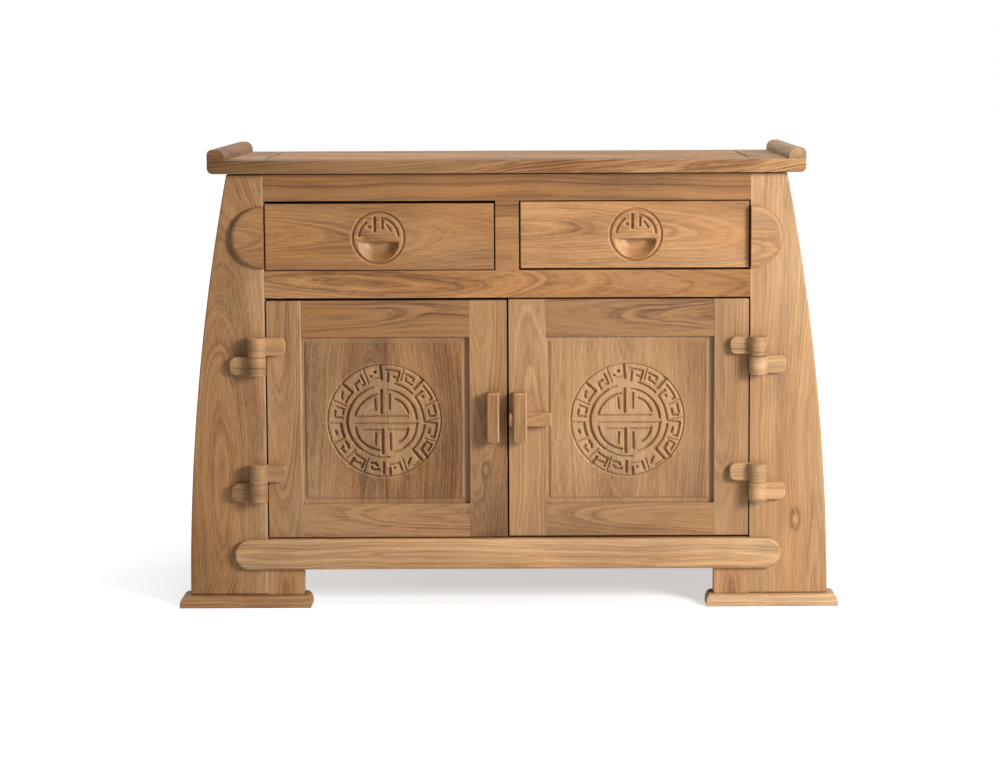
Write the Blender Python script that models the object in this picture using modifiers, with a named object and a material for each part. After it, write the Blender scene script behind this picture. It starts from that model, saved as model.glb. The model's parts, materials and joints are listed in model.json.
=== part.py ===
"""A teak sideboard: two drawers over two panelled doors, on a frame with curved stiles.

The front faces -Y, the floor is z = 0, and the origin is under the middle of the piece.
All sizes are in metres.
"""
from math import cos, pi, radians, sin

import bmesh
import bpy
from mathutils import Matrix, Vector

# Driving dimensions: fits and gaps
FIT = 0.0003
DOOR_GAP = 0.003
MEETING_GAP = 0.0035
DRAWER_GAP = 0.003

# Driving dimensions: carcass
BASE_WIDTH = 1.259
SHOULDER_WIDTH = 1.092
OPENING_WIDTH = 0.951
CARCASS_DEPTH = 0.405
FRAME_THICKNESS = 0.034
CURVE_STEPS = 12

FOOT_HEIGHT = 0.024
FOOT_OUTER_OVERHANG = 0.0205
FOOT_INNER_OVERHANG = 0.0155
FOOT_FACE_OVERHANG = 0.015
FOOT_REAR_OVERHANG = 0.004
FOOT_MOULDING = 0.013
LEG_BLOCK_HEIGHT = 0.0525
LEG_BLOCK_WIDTH = 0.070

BOTTOM_RAIL_HEIGHT = 0.0595
BOTTOM_RAIL_LENGTH = 1.074
BOTTOM_RAIL_PROUD = 0.014
MIDDLE_RAIL_HEIGHT = 0.0535
TOP_RAIL_HEIGHT = 0.0545
DIVIDER_WIDTH = 0.046
PARTITION_THICKNESS = 0.020
BACK_RAIL_HEIGHT = 0.090
BACK_PANEL_THICKNESS = 0.010
BACK_PANEL_INSET = 0.012
TENON_LENGTH = 0.026
TENON_THICKNESS = 0.011
TENON_SHOULDER = 0.014
GROOVE_DEPTH = 0.009

BOSS_WIDTH = 0.0645
BOSS_HEIGHT = 0.122
BOSS_DROP = 0.003
BOSS_PROUD = 0.009
BOSS_ROUNDING = 0.0065

SIDE_INSET = 0.005
SIDE_THICKNESS = 0.018
BOARD_THICKNESS = 0.016
BOARD_HOUSING = 0.006
SHELF_HEIGHT = 0.225
SHELF_SETBACK = 0.050

# Driving dimensions: top
TOP_END_OVERHANG = 0.034
TOP_THICKNESS = 0.026
TOP_OVERHANG_FRONT = 0.025
TOP_OVERHANG_BACK = 0.020
TOP_STRIP = 0.060
TOP_END_WIDTH = 0.108
TOP_EDGE_RADIUS = 0.011
SCROLL_WIDTH = 0.034
SCROLL_HEIGHT = 0.021
SCROLL_OUTER_RADIUS = 0.010
SCROLL_INNER_RADIUS = 0.016
SCROLL_EDGE = 0.002

# Driving dimensions: drawers
DRAWER_HEIGHT = 0.1305
DRAWER_FRONT_THICKNESS = 0.022
DRAWER_BOX_LENGTH = 0.320
DRAWER_SIDE_HEIGHT = 0.098
DRAWER_SIDE_THICKNESS = 0.012
DRAWER_SIDE_INSET = 0.004
DRAWER_HOUSING = 0.008
DRAWER_BOTTOM_THICKNESS = 0.007
DRAWER_BOTTOM_LIFT = 0.008
DRAWER_GROOVE = 0.005
GUIDE_HEIGHT = 0.020
GUIDE_WIDTH = 0.020
GUIDE_PLAY = 0.001
PULL_OFFSET = 0.002
PULL_RING_RADIUS = 0.053
PULL_SCOOP_RADIUS = 0.040
PULL_SCOOP_DEPTH = 0.015
PULL_BAR_DROP = 0.0065
LEFT_PULL_DROP = 0.0055
RIGHT_PULL_DROP = -0.001

# Driving dimensions: doors
DOOR_HEIGHT = 0.4715
DOOR_THICKNESS = 0.024
DOOR_HINGE_STILE_WIDTH = 0.0675
DOOR_LOCK_STILE_WIDTH = 0.0735
DOOR_TOP_RAIL_HEIGHT = 0.074
DOOR_BOTTOM_RAIL_HEIGHT = 0.066
PANEL_THICKNESS = 0.008
PANEL_INSET = 0.0125
PANEL_FIELD_RISE = 0.0035
PANEL_FIELD_MARGIN = 0.008
ROUNDEL_RADIUS = 0.111
ROUNDEL_BAND_RADIUS = 0.077
ROUNDEL_HEART_RADIUS = 0.064
ROUNDEL_BAR_GAP = 0.011
CARVING_WIDTH = 0.0035
CARVING_DEPTH = 0.003
RING_STEPS = 40

# Driving dimensions: hinges and latch
KNUCKLE_RADIUS = 0.018
KNUCKLE_HEIGHT = 0.037
KNUCKLE_PLAY = 0.0005
KNUCKLE_CLEARANCE = 0.0008
KNUCKLE_STEPS = 24
KNUCKLE_EDGE = 0.001
HINGE_AXIS_OFFSET = 0.017
HINGE_FROM_BOTTOM = 0.111
HINGE_FROM_TOP = 0.110
LEAF_REACH = 0.055
LEAF_ROOT = 0.0025
LEAF_SETBACK = 0.002
LEAF_THICKNESS = 0.012
LEAF_END_RADIUS = 0.012
PIN_RADIUS = 0.006
PIN_HALF_LENGTH = 0.028
KEEPER_WIDTH = 0.0245
KEEPER_HEIGHT = 0.098
KEEPER_DEPTH = 0.030
KEEPER_LIFT = 0.005
LEFT_KEEPER_SETBACK = 0.01325
RIGHT_KEEPER_SETBACK = 0.01025
KEEPER_ROUNDING = 0.004
BOLT_LENGTH = 0.083
BOLT_HEIGHT = 0.026
BOLT_THICKNESS = 0.014
BOLT_STANDOFF = 0.011
BOLT_DROP = 0.0045
BOLT_PLAY = 0.0005
BOLT_POCKET = 0.020
BOLT_POCKET_PLAY = 0.0012
BOLT_EDGE = 0.0015

# Heights, from the floor up
BOTTOM_RAIL_Z = FOOT_HEIGHT + LEG_BLOCK_HEIGHT
CUPBOARD_Z = BOTTOM_RAIL_Z + BOTTOM_RAIL_HEIGHT
DOOR_Z = CUPBOARD_Z + DOOR_GAP
MIDDLE_RAIL_Z = DOOR_Z + DOOR_HEIGHT + DOOR_GAP
DRAWER_Z = MIDDLE_RAIL_Z + MIDDLE_RAIL_HEIGHT + DRAWER_GAP
TOP_RAIL_Z = DRAWER_Z + DRAWER_HEIGHT + DRAWER_GAP
TOP_Z = TOP_RAIL_Z + TOP_RAIL_HEIGHT
DUST_BOARD_Z = DRAWER_Z - FIT - BOARD_THICKNESS
SHELF_Z = CUPBOARD_Z + SHELF_HEIGHT
LOWER_HINGE_Z = DOOR_Z + HINGE_FROM_BOTTOM
UPPER_HINGE_Z = DOOR_Z + DOOR_HEIGHT - HINGE_FROM_TOP
KEEPER_Z = DOOR_Z + DOOR_HEIGHT / 2 + KEEPER_LIFT

# Places across and from front to back
TOP_WIDTH = SHOULDER_WIDTH + 2 * TOP_END_OVERHANG
OPENING_HALF = OPENING_WIDTH / 2
HINGE_STANDOFF = KNUCKLE_RADIUS + KNUCKLE_CLEARANCE
FRONT_REACH = HINGE_STANDOFF + KNUCKLE_RADIUS
FACE_Y = (FRONT_REACH - CARCASS_DEPTH - TOP_OVERHANG_BACK) / 2
BACK_Y = FACE_Y + CARCASS_DEPTH
FRAME_REAR_Y = FACE_Y + FRAME_THICKNESS
BACK_FRAME_Y = BACK_Y - FRAME_THICKNESS
DOOR_OUTER = OPENING_HALF - DOOR_GAP
DOOR_INNER = MEETING_GAP / 2
DRAWER_OUTER = OPENING_HALF - DRAWER_GAP
DRAWER_INNER = DIVIDER_WIDTH / 2 + DRAWER_GAP
HINGE_X = DOOR_OUTER + HINGE_AXIS_OFFSET
SIDES = {"left": -1, "right": 1}

TEAK_WARM = (0.44, 0.25, 0.12)
TEAK_BROWN = (0.36, 0.20, 0.09)
TEAK_PALE = (0.52, 0.32, 0.16)


def clear_scene():
    for old in list(bpy.data.objects):
        bpy.data.objects.remove(old)


def new_collection(name):
    collection = bpy.data.collections.new(name)
    bpy.context.scene.collection.children.link(collection)
    return collection


def wood(name, colour):
    material = bpy.data.materials.new(name + "_teak")
    material.use_nodes = True
    shader = material.node_tree.nodes["Principled BSDF"]
    shader.inputs["Base Color"].default_value = (*colour, 1.0)
    shader.inputs["Roughness"].default_value = 0.55
    shader.inputs["Metallic"].default_value = 0.0
    return material


def add_piece(name, mesh, matrix, colour=TEAK_WARM):
    piece = bpy.data.objects.new(name, mesh)
    piece.matrix_world = matrix
    mesh.materials.append(wood(name, colour))
    PARTS.objects.link(piece)
    return piece


def as_tool(piece):
    """Turn a piece into a guide for a Boolean, which is not part of the object."""
    PARTS.objects.unlink(piece)
    TOOLS.objects.link(piece)
    piece.hide_render = True
    piece.display_type = "WIRE"
    return piece


def block(name, x, y, z, colour=TEAK_WARM):
    """A square-edged board that fills the spans x, y and z."""
    spans = [sorted(span) for span in (x, y, z)]
    size = Vector([high - low for low, high in spans])
    centre = Vector([(high + low) / 2 for low, high in spans])
    shape = bmesh.new()
    bmesh.ops.create_cube(shape, size=1.0)
    bmesh.ops.scale(shape, vec=size, verts=shape.verts)
    mesh = bpy.data.meshes.new(name)
    shape.to_mesh(mesh)
    shape.free()
    return add_piece(name, mesh, Matrix.Translation(centre), colour)


def arc(centre, radius, start, end, steps):
    """Points on a round stretch, with the angles in degrees."""
    turns = [radians(start + (end - start) * step / steps) for step in range(steps + 1)]
    return [(centre[0] + radius * cos(turn), centre[1] + radius * sin(turn)) for turn in turns]


def sawn(name, outline, y, colour=TEAK_WARM):
    """A board sawn to an outline in the front view (x, z), filling the span y."""
    front, rear = sorted(y)
    curve = bpy.data.curves.new(name, "CURVE")
    curve.dimensions = "2D"
    curve.fill_mode = "BOTH"
    curve.extrude = (rear - front) / 2
    spline = curve.splines.new("POLY")
    spline.points.add(len(outline) - 1)
    for point, (x, z) in zip(spline.points, outline):
        point.co = (x, z, 0, 1)
    spline.use_cyclic_u = True
    shape = bpy.data.objects.new(name + "_outline", curve)
    shape.matrix_world = Matrix.Translation((0, (front + rear) / 2, 0)) @ Matrix.Rotation(pi / 2, 4, "X")
    TOOLS.objects.link(shape)
    evaluated = shape.evaluated_get(bpy.context.evaluated_depsgraph_get())
    mesh = bpy.data.meshes.new_from_object(evaluated)
    welded = bmesh.new()
    welded.from_mesh(mesh)
    bmesh.ops.remove_doubles(welded, verts=welded.verts, dist=1e-6)
    bmesh.ops.dissolve_limit(welded, angle_limit=radians(0.05), verts=welded.verts, edges=welded.edges)
    bmesh.ops.recalc_face_normals(welded, faces=welded.faces)
    welded.to_mesh(mesh)
    welded.free()
    place = shape.matrix_world.copy()
    bpy.data.objects.remove(shape)
    return add_piece(name, mesh, place, colour)


def turned(name, axis, radius, z, colour=TEAK_WARM):
    """An upright round piece on the axis (x, y), filling the span z."""
    low, high = z
    shape = bmesh.new()
    bmesh.ops.create_cone(shape, cap_ends=True, segments=KNUCKLE_STEPS, radius1=radius, radius2=radius,
                          depth=high - low)
    mesh = bpy.data.meshes.new(name)
    shape.to_mesh(mesh)
    shape.free()
    mesh.shade_smooth()
    mesh.set_sharp_from_angle(angle=radians(40))
    return add_piece(name, mesh, Matrix.Translation((*axis, (low + high) / 2)), colour)


def boolean(piece, tool, operation):
    change = piece.modifiers.new(operation.lower(), "BOOLEAN")
    change.operation = operation
    change.object = tool


def join(piece, *tools):
    for tool in tools:
        boolean(piece, as_tool(tool), "UNION")


def cut(pieces, tool):
    as_tool(tool)
    for piece in pieces:
        boolean(piece, tool, "DIFFERENCE")


def round_edges(piece, width, segments=1):
    bevel = piece.modifiers.new("rounded", "BEVEL")
    bevel.width = width
    bevel.segments = segments
    bevel.limit_method = "ANGLE"
    bevel.angle_limit = radians(40)


def grown(span, amount=FIT):
    low, high = sorted(span)
    return (low - amount, high + amount)


def mirrored(span, side):
    return tuple(sorted(side * edge for edge in span))


def hang_on(pieces, name, place):
    """Parent moving pieces to an empty on their joint's axis."""
    pivot = bpy.data.objects.new(name, None)
    pivot.location = place
    PARTS.objects.link(pivot)
    for piece in pieces:
        piece.parent = pivot
        piece.matrix_parent_inverse = Matrix.Translation(place).inverted()
    return pivot


def outer_edge(z):
    """Half the width of the cabinet over its stiles, which flare towards the floor."""
    flare = (BASE_WIDTH - SHOULDER_WIDTH) / 2
    return BASE_WIDTH / 2 - flare * (z / TOP_Z) ** 2


def curved_edge(side, bottom, top, inset):
    heights = [bottom + (top - bottom) * step / CURVE_STEPS for step in range(CURVE_STEPS + 1)]
    return [(side * (outer_edge(z) - inset), z) for z in heights]


def stile(name, side, y):
    bottom, top = FOOT_HEIGHT + FIT, TOP_Z - FIT
    outline = curved_edge(side, bottom, top, 0)
    outline += [(side * OPENING_HALF, top), (side * OPENING_HALF, bottom)]
    return sawn(name, outline, y)


def side_board(name, side, slack=0):
    """The curved board between a front and a back stile, or its groove when slack is given."""
    bottom, top = BOTTOM_RAIL_Z - slack, TOP_Z - FIT + slack
    outline = curved_edge(side, bottom, top, SIDE_INSET - slack)
    inner = curved_edge(side, bottom, top, SIDE_INSET + SIDE_THICKNESS + slack)
    front = FRAME_REAR_Y - GROOVE_DEPTH - slack
    rear = BACK_FRAME_Y + GROOVE_DEPTH + slack
    return sawn(name, outline + inner[::-1], (front, rear), TEAK_BROWN)


def side_inner(z):
    return outer_edge(z) - SIDE_INSET - SIDE_THICKNESS


def tenoned(name, stiles, x, y, z, colour=TEAK_WARM):
    """A rail between two stiles, with a tenon at each end and the mortises for them."""
    rail = block(name, x, y, z, colour)
    middle = sum(y) / 2
    tenon_x = grown(x, TENON_LENGTH)
    tenon_y = (middle - TENON_THICKNESS / 2, middle + TENON_THICKNESS / 2)
    tenon_z = grown(z, -TENON_SHOULDER)
    join(rail, block(name + "_tenons", tenon_x, tenon_y, tenon_z))
    cut(stiles, block(name + "_mortises", grown(tenon_x), grown(tenon_y), grown(tenon_z)))
    return rail


def front_frame():
    depth = (FACE_Y, FRAME_REAR_Y)
    stiles = [stile("front_stile_" + name, side, depth) for name, side in SIDES.items()]
    span = (FIT - OPENING_HALF, OPENING_HALF - FIT)
    tenoned("front_top_rail", stiles, span, depth, (TOP_RAIL_Z, TOP_Z - FIT))
    tenoned("front_middle_rail", stiles, span, depth, (MIDDLE_RAIL_Z, MIDDLE_RAIL_Z + MIDDLE_RAIL_HEIGHT))
    bottom = (BOTTOM_RAIL_Z, CUPBOARD_Z)
    bottom_rail = tenoned("front_bottom_rail", stiles, span, depth, bottom, TEAK_PALE)
    join(bottom_rail, half_round_bar("front_bottom_bar", bottom))
    for name, side in SIDES.items():
        inner = OPENING_HALF - LEG_BLOCK_WIDTH
        block("leg_block_" + name, mirrored((inner, OPENING_HALF - FIT), side), depth,
              (FOOT_HEIGHT + FIT, BOTTOM_RAIL_Z - FIT), TEAK_BROWN)
        boss(name, side)
    return stiles


def half_round_bar(name, z):
    """The proud face of the bottom rail, with a half-round at each end."""
    radius = (z[1] - z[0]) / 2
    middle = (z[0] + z[1]) / 2
    reach = BOTTOM_RAIL_LENGTH / 2 - radius
    outline = arc((reach, middle), radius, -90, 90, 10) + arc((-reach, middle), radius, 90, 270, 10)
    bar = sawn(name, outline, (FACE_Y - BOTTOM_RAIL_PROUD, FACE_Y - FIT), TEAK_PALE)
    tongue = block(name + "_tongue", (FIT - OPENING_HALF, OPENING_HALF - FIT),
                   (FACE_Y - BOTTOM_RAIL_PROUD / 2, FACE_Y + FRAME_THICKNESS / 2), z)
    join(bar, tongue)
    return bar


def boss(name, side):
    """A half-round boss planted on the stile beside a drawer."""
    middle = DRAWER_Z + DRAWER_HEIGHT / 2 - BOSS_DROP
    radius = BOSS_HEIGHT / 2
    inner = OPENING_HALF
    round_x = inner + BOSS_WIDTH - radius
    outline = [(inner, middle - radius)] + arc((round_x, middle), radius, -90, 90, 16)
    outline += [(inner, middle + radius)]
    piece = sawn("boss_" + name, [(side * x, z) for x, z in outline], (FACE_Y - BOSS_PROUD, FACE_Y - FIT))
    round_edges(piece, BOSS_ROUNDING, 2)


def back_frame():
    depth = (BACK_FRAME_Y, BACK_Y)
    stiles = [stile("back_stile_" + name, side, depth) for name, side in SIDES.items()]
    span = (FIT - OPENING_HALF, OPENING_HALF - FIT)
    low = (BOTTOM_RAIL_Z, BOTTOM_RAIL_Z + BACK_RAIL_HEIGHT)
    high = (TOP_Z - FIT - BACK_RAIL_HEIGHT, TOP_Z - FIT)
    rails = [tenoned("back_bottom_rail", stiles, span, depth, low, TEAK_BROWN),
             tenoned("back_top_rail", stiles, span, depth, high, TEAK_BROWN)]
    rear = BACK_Y - BACK_PANEL_INSET
    panel_x = grown((-OPENING_HALF, OPENING_HALF), GROOVE_DEPTH)
    panel_y = (rear - BACK_PANEL_THICKNESS, rear)
    panel_z = grown((low[1], high[0]), GROOVE_DEPTH)
    block("back_panel", panel_x, panel_y, panel_z, TEAK_BROWN)
    cut(stiles + rails, block("back_panel_groove", grown(panel_x), grown(panel_y), grown(panel_z)))
    return stiles


def carcass():
    stiles = front_frame() + back_frame()
    sides = []
    for name, side in SIDES.items():
        sides.append(side_board("side_panel_" + name, side))
        cut(stiles, side_board("side_groove_" + name, side, slack=FIT))
    boards(sides)
    for name, side in SIDES.items():
        foot("foot_front_" + name, side, OPENING_HALF - LEG_BLOCK_WIDTH, FACE_Y, -1)
        foot("foot_back_" + name, side, OPENING_HALF, BACK_Y, 1)


def foot(name, side, inner, face, facing):
    """A moulded foot under a leg. facing is -1 for a front foot and 1 for a back one."""
    x = (inner - FOOT_INNER_OVERHANG, BASE_WIDTH / 2 + FOOT_OUTER_OVERHANG)
    outside = face + facing * FOOT_FACE_OVERHANG
    inside = face - facing * (FRAME_THICKNESS + FOOT_REAR_OVERHANG)
    piece = block(name, mirrored(x, side), (outside, inside), (0, FOOT_HEIGHT), TEAK_BROWN)
    shape = bmesh.new()
    shape.from_mesh(piece.data)
    crest = [edge for edge in shape.edges
             if all(vert.co.z > 0 for vert in edge.verts)
             and not all(vert.co.y * -facing > 0 for vert in edge.verts)]
    bmesh.ops.bevel(shape, geom=crest, offset=FOOT_MOULDING, segments=4, profile=0.5, affect="EDGES")
    shape.to_mesh(piece.data)
    shape.free()


def board(name, sides, z, y):
    """A board across the cabinet, with its ends housed in the side panels."""
    half = side_inner(z + BOARD_THICKNESS) + BOARD_HOUSING
    span = (z, z + BOARD_THICKNESS)
    piece = block(name, (-half, half), y, span, TEAK_BROWN)
    cut(sides, block(name + "_housing", grown((-half, half)), grown(y), grown(span)))
    return piece


def boards(sides):
    front, rear = FRAME_REAR_Y + FIT, BACK_FRAME_Y - FIT
    board("bottom_board", sides, CUPBOARD_Z - BOARD_THICKNESS, (front, rear))
    board("shelf", sides, SHELF_Z, (front + SHELF_SETBACK, rear))
    dust_board = board("dust_board", sides, DUST_BOARD_Z, (front, rear))
    divider(front, rear)
    floor = DUST_BOARD_Z + BOARD_THICKNESS
    guide_z = (floor - BOARD_THICKNESS / 2, floor + GUIDE_HEIGHT)
    for name, side in SIDES.items():
        outer = DRAWER_OUTER - DRAWER_SIDE_INSET + GUIDE_PLAY
        inner = DRAWER_INNER + DRAWER_SIDE_INSET - GUIDE_PLAY
        outer_guide = mirrored((outer, outer + GUIDE_WIDTH), side)
        inner_guide = mirrored((PARTITION_THICKNESS / 2 + FIT, inner), side)
        join(dust_board, block("outer_guide_" + name, outer_guide, (front, rear), guide_z))
        join(dust_board, block("inner_guide_" + name, inner_guide, (front, rear), guide_z))


def divider(front, rear):
    """The post between the drawers, with the partition that runs back from it."""
    half = DIVIDER_WIDTH / 2
    post_z = (MIDDLE_RAIL_Z + MIDDLE_RAIL_HEIGHT + FIT, TOP_RAIL_Z - FIT)
    post = block("drawer_divider", (-half, half), (FACE_Y, FRAME_REAR_Y), post_z)
    half = PARTITION_THICKNESS / 2
    overlap = FRAME_THICKNESS / 2
    partition_z = (DUST_BOARD_Z + BOARD_THICKNESS + FIT, TOP_RAIL_Z - FIT)
    join(post, block("partition", (-half, half), (front - overlap, rear), partition_z))


def top():
    half = TOP_WIDTH / 2
    front, rear = FACE_Y - TOP_OVERHANG_FRONT, BACK_Y + TOP_OVERHANG_BACK
    underside, surface = TOP_Z, TOP_Z + TOP_THICKNESS
    corner = half - TOP_EDGE_RADIUS
    lift = underside + TOP_EDGE_RADIUS
    outline = arc((corner, lift), TOP_EDGE_RADIUS, -90, 0, 4) + [(half, surface), (-half, surface)]
    outline += arc((-corner, lift), TOP_EDGE_RADIUS, 180, 270, 4)
    slab = sawn("top_panel", outline, (front, rear))
    seam = half - TOP_END_WIDTH
    pocket = (front + TOP_STRIP, rear - TOP_STRIP)
    for name, side in SIDES.items():
        beyond = mirrored((seam, half + FIT), side)
        cut([slab], block("top_pocket_" + name, beyond, pocket, grown((underside, surface))))
        end = [(seam + FIT, underside)] + outline[:5] + [(half, surface), (seam + FIT, surface)]
        sawn("top_end_" + name, [(side * x, z) for x, z in end], grown(pocket, -FIT), TEAK_BROWN)
        scroll(name, side, surface + FIT, (front, rear))


def scroll(name, side, base, y):
    """The rounded bar that closes each end of the top."""
    outer = TOP_WIDTH / 2
    inner = outer - SCROLL_WIDTH
    crest = base + SCROLL_HEIGHT
    outline = [(outer, base)]
    outline += arc((outer - SCROLL_OUTER_RADIUS, crest - SCROLL_OUTER_RADIUS), SCROLL_OUTER_RADIUS, 0, 90, 5)
    slope = (inner + SCROLL_INNER_RADIUS, crest - SCROLL_INNER_RADIUS)
    outline += arc(slope, SCROLL_INNER_RADIUS, 90, 180, 6)
    outline += [(inner, base)]
    piece = sawn("top_scroll_" + name, [(side * x, z) for x, z in outline], y)
    round_edges(piece, SCROLL_EDGE)


def ring_tool(name, x, z, radius, width, y):
    """A ring that cuts a round groove into a face that looks to the front."""
    front, rear = y
    low, high = radius - width / 2, radius + width / 2
    mesh = bpy.data.meshes.new(name)
    shape = bmesh.new()
    corners = [(low, front), (high, front), (high, rear), (low, rear)]
    profile = [shape.verts.new((reach, depth, 0)) for reach, depth in corners]
    for start, end in zip(profile, profile[1:] + profile[:1]):
        shape.edges.new((start, end))
    bmesh.ops.spin(shape, geom=list(shape.verts) + list(shape.edges), cent=(0, 0, 0), axis=(0, 1, 0),
                   angle=2 * pi, steps=RING_STEPS, use_merge=True)
    bmesh.ops.recalc_face_normals(shape, faces=shape.faces)
    shape.to_mesh(mesh)
    shape.free()
    return add_piece(name, mesh, Matrix.Translation((x, 0, z)))


def drawer(name, side):
    front_x = mirrored((DRAWER_INNER, DRAWER_OUTER), side)
    front_y = (FACE_Y, FACE_Y + DRAWER_FRONT_THICKNESS)
    face = block(name + "_drawer_front", front_x, front_y, (DRAWER_Z, DRAWER_Z + DRAWER_HEIGHT), TEAK_PALE)

    box_x = grown(front_x, -DRAWER_SIDE_INSET)
    start = front_y[1] - DRAWER_HOUSING
    box_y = (start, front_y[1] + DRAWER_BOX_LENGTH)
    box_z = (DRAWER_Z, DRAWER_Z + DRAWER_SIDE_HEIGHT)
    box = block(name + "_drawer_box", box_x, box_y, box_z, TEAK_BROWN)
    inside_x = grown(box_x, -DRAWER_SIDE_THICKNESS)
    inside_y = (start - FIT, box_y[1] - DRAWER_SIDE_THICKNESS)
    cut([box], block(name + "_drawer_inside", inside_x, inside_y, grown(box_z)))
    for edge, inward in ((box_x[0], 1), (box_x[1], -1)):
        side_x = (edge - inward * FIT, edge + inward * (DRAWER_SIDE_THICKNESS + FIT))
        housing = block(name + "_drawer_housing", side_x, (start - FIT, front_y[1] + FIT),
                        (box_z[0] - FIT, box_z[1] + FIT))
        cut([face], housing)

    bottom_x = grown(inside_x, DRAWER_GROOVE)
    bottom_y = (front_y[1] + FIT, inside_y[1] + DRAWER_GROOVE)
    lift = DRAWER_Z + DRAWER_BOTTOM_LIFT
    bottom_z = (lift, lift + DRAWER_BOTTOM_THICKNESS)
    bottom = block(name + "_drawer_bottom", bottom_x, bottom_y, bottom_z, TEAK_BROWN)
    cut([box], block(name + "_drawer_groove", grown(bottom_x), grown(bottom_y, 2 * FIT), grown(bottom_z)))
    drop = LEFT_PULL_DROP if side < 0 else RIGHT_PULL_DROP
    finger_pull(name, face, sum(front_x) / 2 + side * PULL_OFFSET, DRAWER_Z + DRAWER_HEIGHT / 2 - drop)
    slide = (sum(front_x) / 2, FACE_Y, DRAWER_Z)
    hang_on([face, box, bottom], name + "_drawer_slide", slide)


def finger_pull(name, face, x, middle):
    """The half-moon scoop that opens the drawer, inside a carved ring."""
    shape = bmesh.new()
    bmesh.ops.create_uvsphere(shape, u_segments=24, v_segments=12, radius=1.0)
    bmesh.ops.rotate(shape, verts=shape.verts, cent=(0, 0, 0), matrix=Matrix.Rotation(pi / 2, 3, "X"))
    bmesh.ops.scale(shape, vec=(PULL_SCOOP_RADIUS, PULL_SCOOP_DEPTH, PULL_SCOOP_RADIUS), verts=shape.verts)
    halved = bmesh.ops.bisect_plane(shape, geom=list(shape.verts) + list(shape.edges) + list(shape.faces),
                                    plane_co=(0, 0, -PULL_BAR_DROP), plane_no=(0, 0, 1), clear_outer=True)
    rim = [part for part in halved["geom_cut"] if isinstance(part, bmesh.types.BMEdge)]
    bmesh.ops.holes_fill(shape, edges=rim)
    bmesh.ops.recalc_face_normals(shape, faces=shape.faces)
    mesh = bpy.data.meshes.new(name + "_scoop")
    shape.to_mesh(mesh)
    shape.free()
    cut([face], add_piece(name + "_scoop", mesh, Matrix.Translation((x, FACE_Y, middle))))
    groove = (FACE_Y - CARVING_DEPTH, FACE_Y + CARVING_DEPTH)
    cut([face], ring_tool(name + "_pull_ring", x, middle, PULL_RING_RADIUS, CARVING_WIDTH, groove))


def door(name, side):
    depth = (FACE_Y, FACE_Y + DOOR_THICKNESS)
    height = (DOOR_Z, DOOR_Z + DOOR_HEIGHT)
    light_x = mirrored((DOOR_INNER + DOOR_LOCK_STILE_WIDTH, DOOR_OUTER - DOOR_HINGE_STILE_WIDTH), side)
    hinge_x = mirrored((DOOR_OUTER - DOOR_HINGE_STILE_WIDTH, DOOR_OUTER), side)
    lock_x = mirrored((DOOR_INNER, DOOR_INNER + DOOR_LOCK_STILE_WIDTH), side)
    stiles = [block(name + "_door_hinge_stile", hinge_x, depth, height),
              block(name + "_door_lock_stile", lock_x, depth, height)]
    light_z = (height[0] + DOOR_BOTTOM_RAIL_HEIGHT, height[1] - DOOR_TOP_RAIL_HEIGHT)
    rail_x = grown(light_x, -FIT)
    rails = [tenoned(name + "_door_bottom_rail", stiles, rail_x, depth, (height[0], light_z[0])),
             tenoned(name + "_door_top_rail", stiles, rail_x, depth, (light_z[1], height[1]))]

    panel_x = grown(light_x, GROOVE_DEPTH)
    panel_y = (FACE_Y + PANEL_INSET, FACE_Y + PANEL_INSET + PANEL_THICKNESS)
    panel_z = grown(light_z, GROOVE_DEPTH)
    panel = block(name + "_door_panel", panel_x, panel_y, panel_z, TEAK_BROWN)
    field_face = panel_y[0] - PANEL_FIELD_RISE
    field = block(name + "_door_field", grown(light_x, -PANEL_FIELD_MARGIN),
                  (field_face, sum(panel_y) / 2), grown(light_z, -PANEL_FIELD_MARGIN))
    join(panel, field)
    cut(stiles + rails, block(name + "_door_groove", grown(panel_x), grown(panel_y), grown(panel_z)))
    roundel(name, panel, sum(light_x) / 2, sum(light_z) / 2, field_face)
    return stiles + rails + [panel]


def roundel(name, panel, x, z, face):
    """The carved medallion: two rings, a heart circle and the bars across it."""
    groove = (face - CARVING_DEPTH, face + CARVING_DEPTH)
    for number, radius in enumerate((ROUNDEL_RADIUS, ROUNDEL_BAND_RADIUS, ROUNDEL_HEART_RADIUS)):
        cut([panel], ring_tool("%s_roundel_%d" % (name, number), x, z, radius, CARVING_WIDTH, groove))
    half = CARVING_WIDTH / 2
    reach = ROUNDEL_HEART_RADIUS - CARVING_WIDTH
    for number in (-1, 1):
        middle = z + number * ROUNDEL_BAR_GAP / 2
        bar = block("%s_bar_%d" % (name, number), (x - reach + ROUNDEL_BAR_GAP, x + reach - ROUNDEL_BAR_GAP),
                    groove, (middle - half, middle + half))
        cut([panel], bar)
        post_z = (z + number * ROUNDEL_BAR_GAP, z + number * (reach - ROUNDEL_BAR_GAP / 2))
        cut([panel], block("%s_post_%d" % (name, number), (x - half, x + half), groove, post_z))


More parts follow.
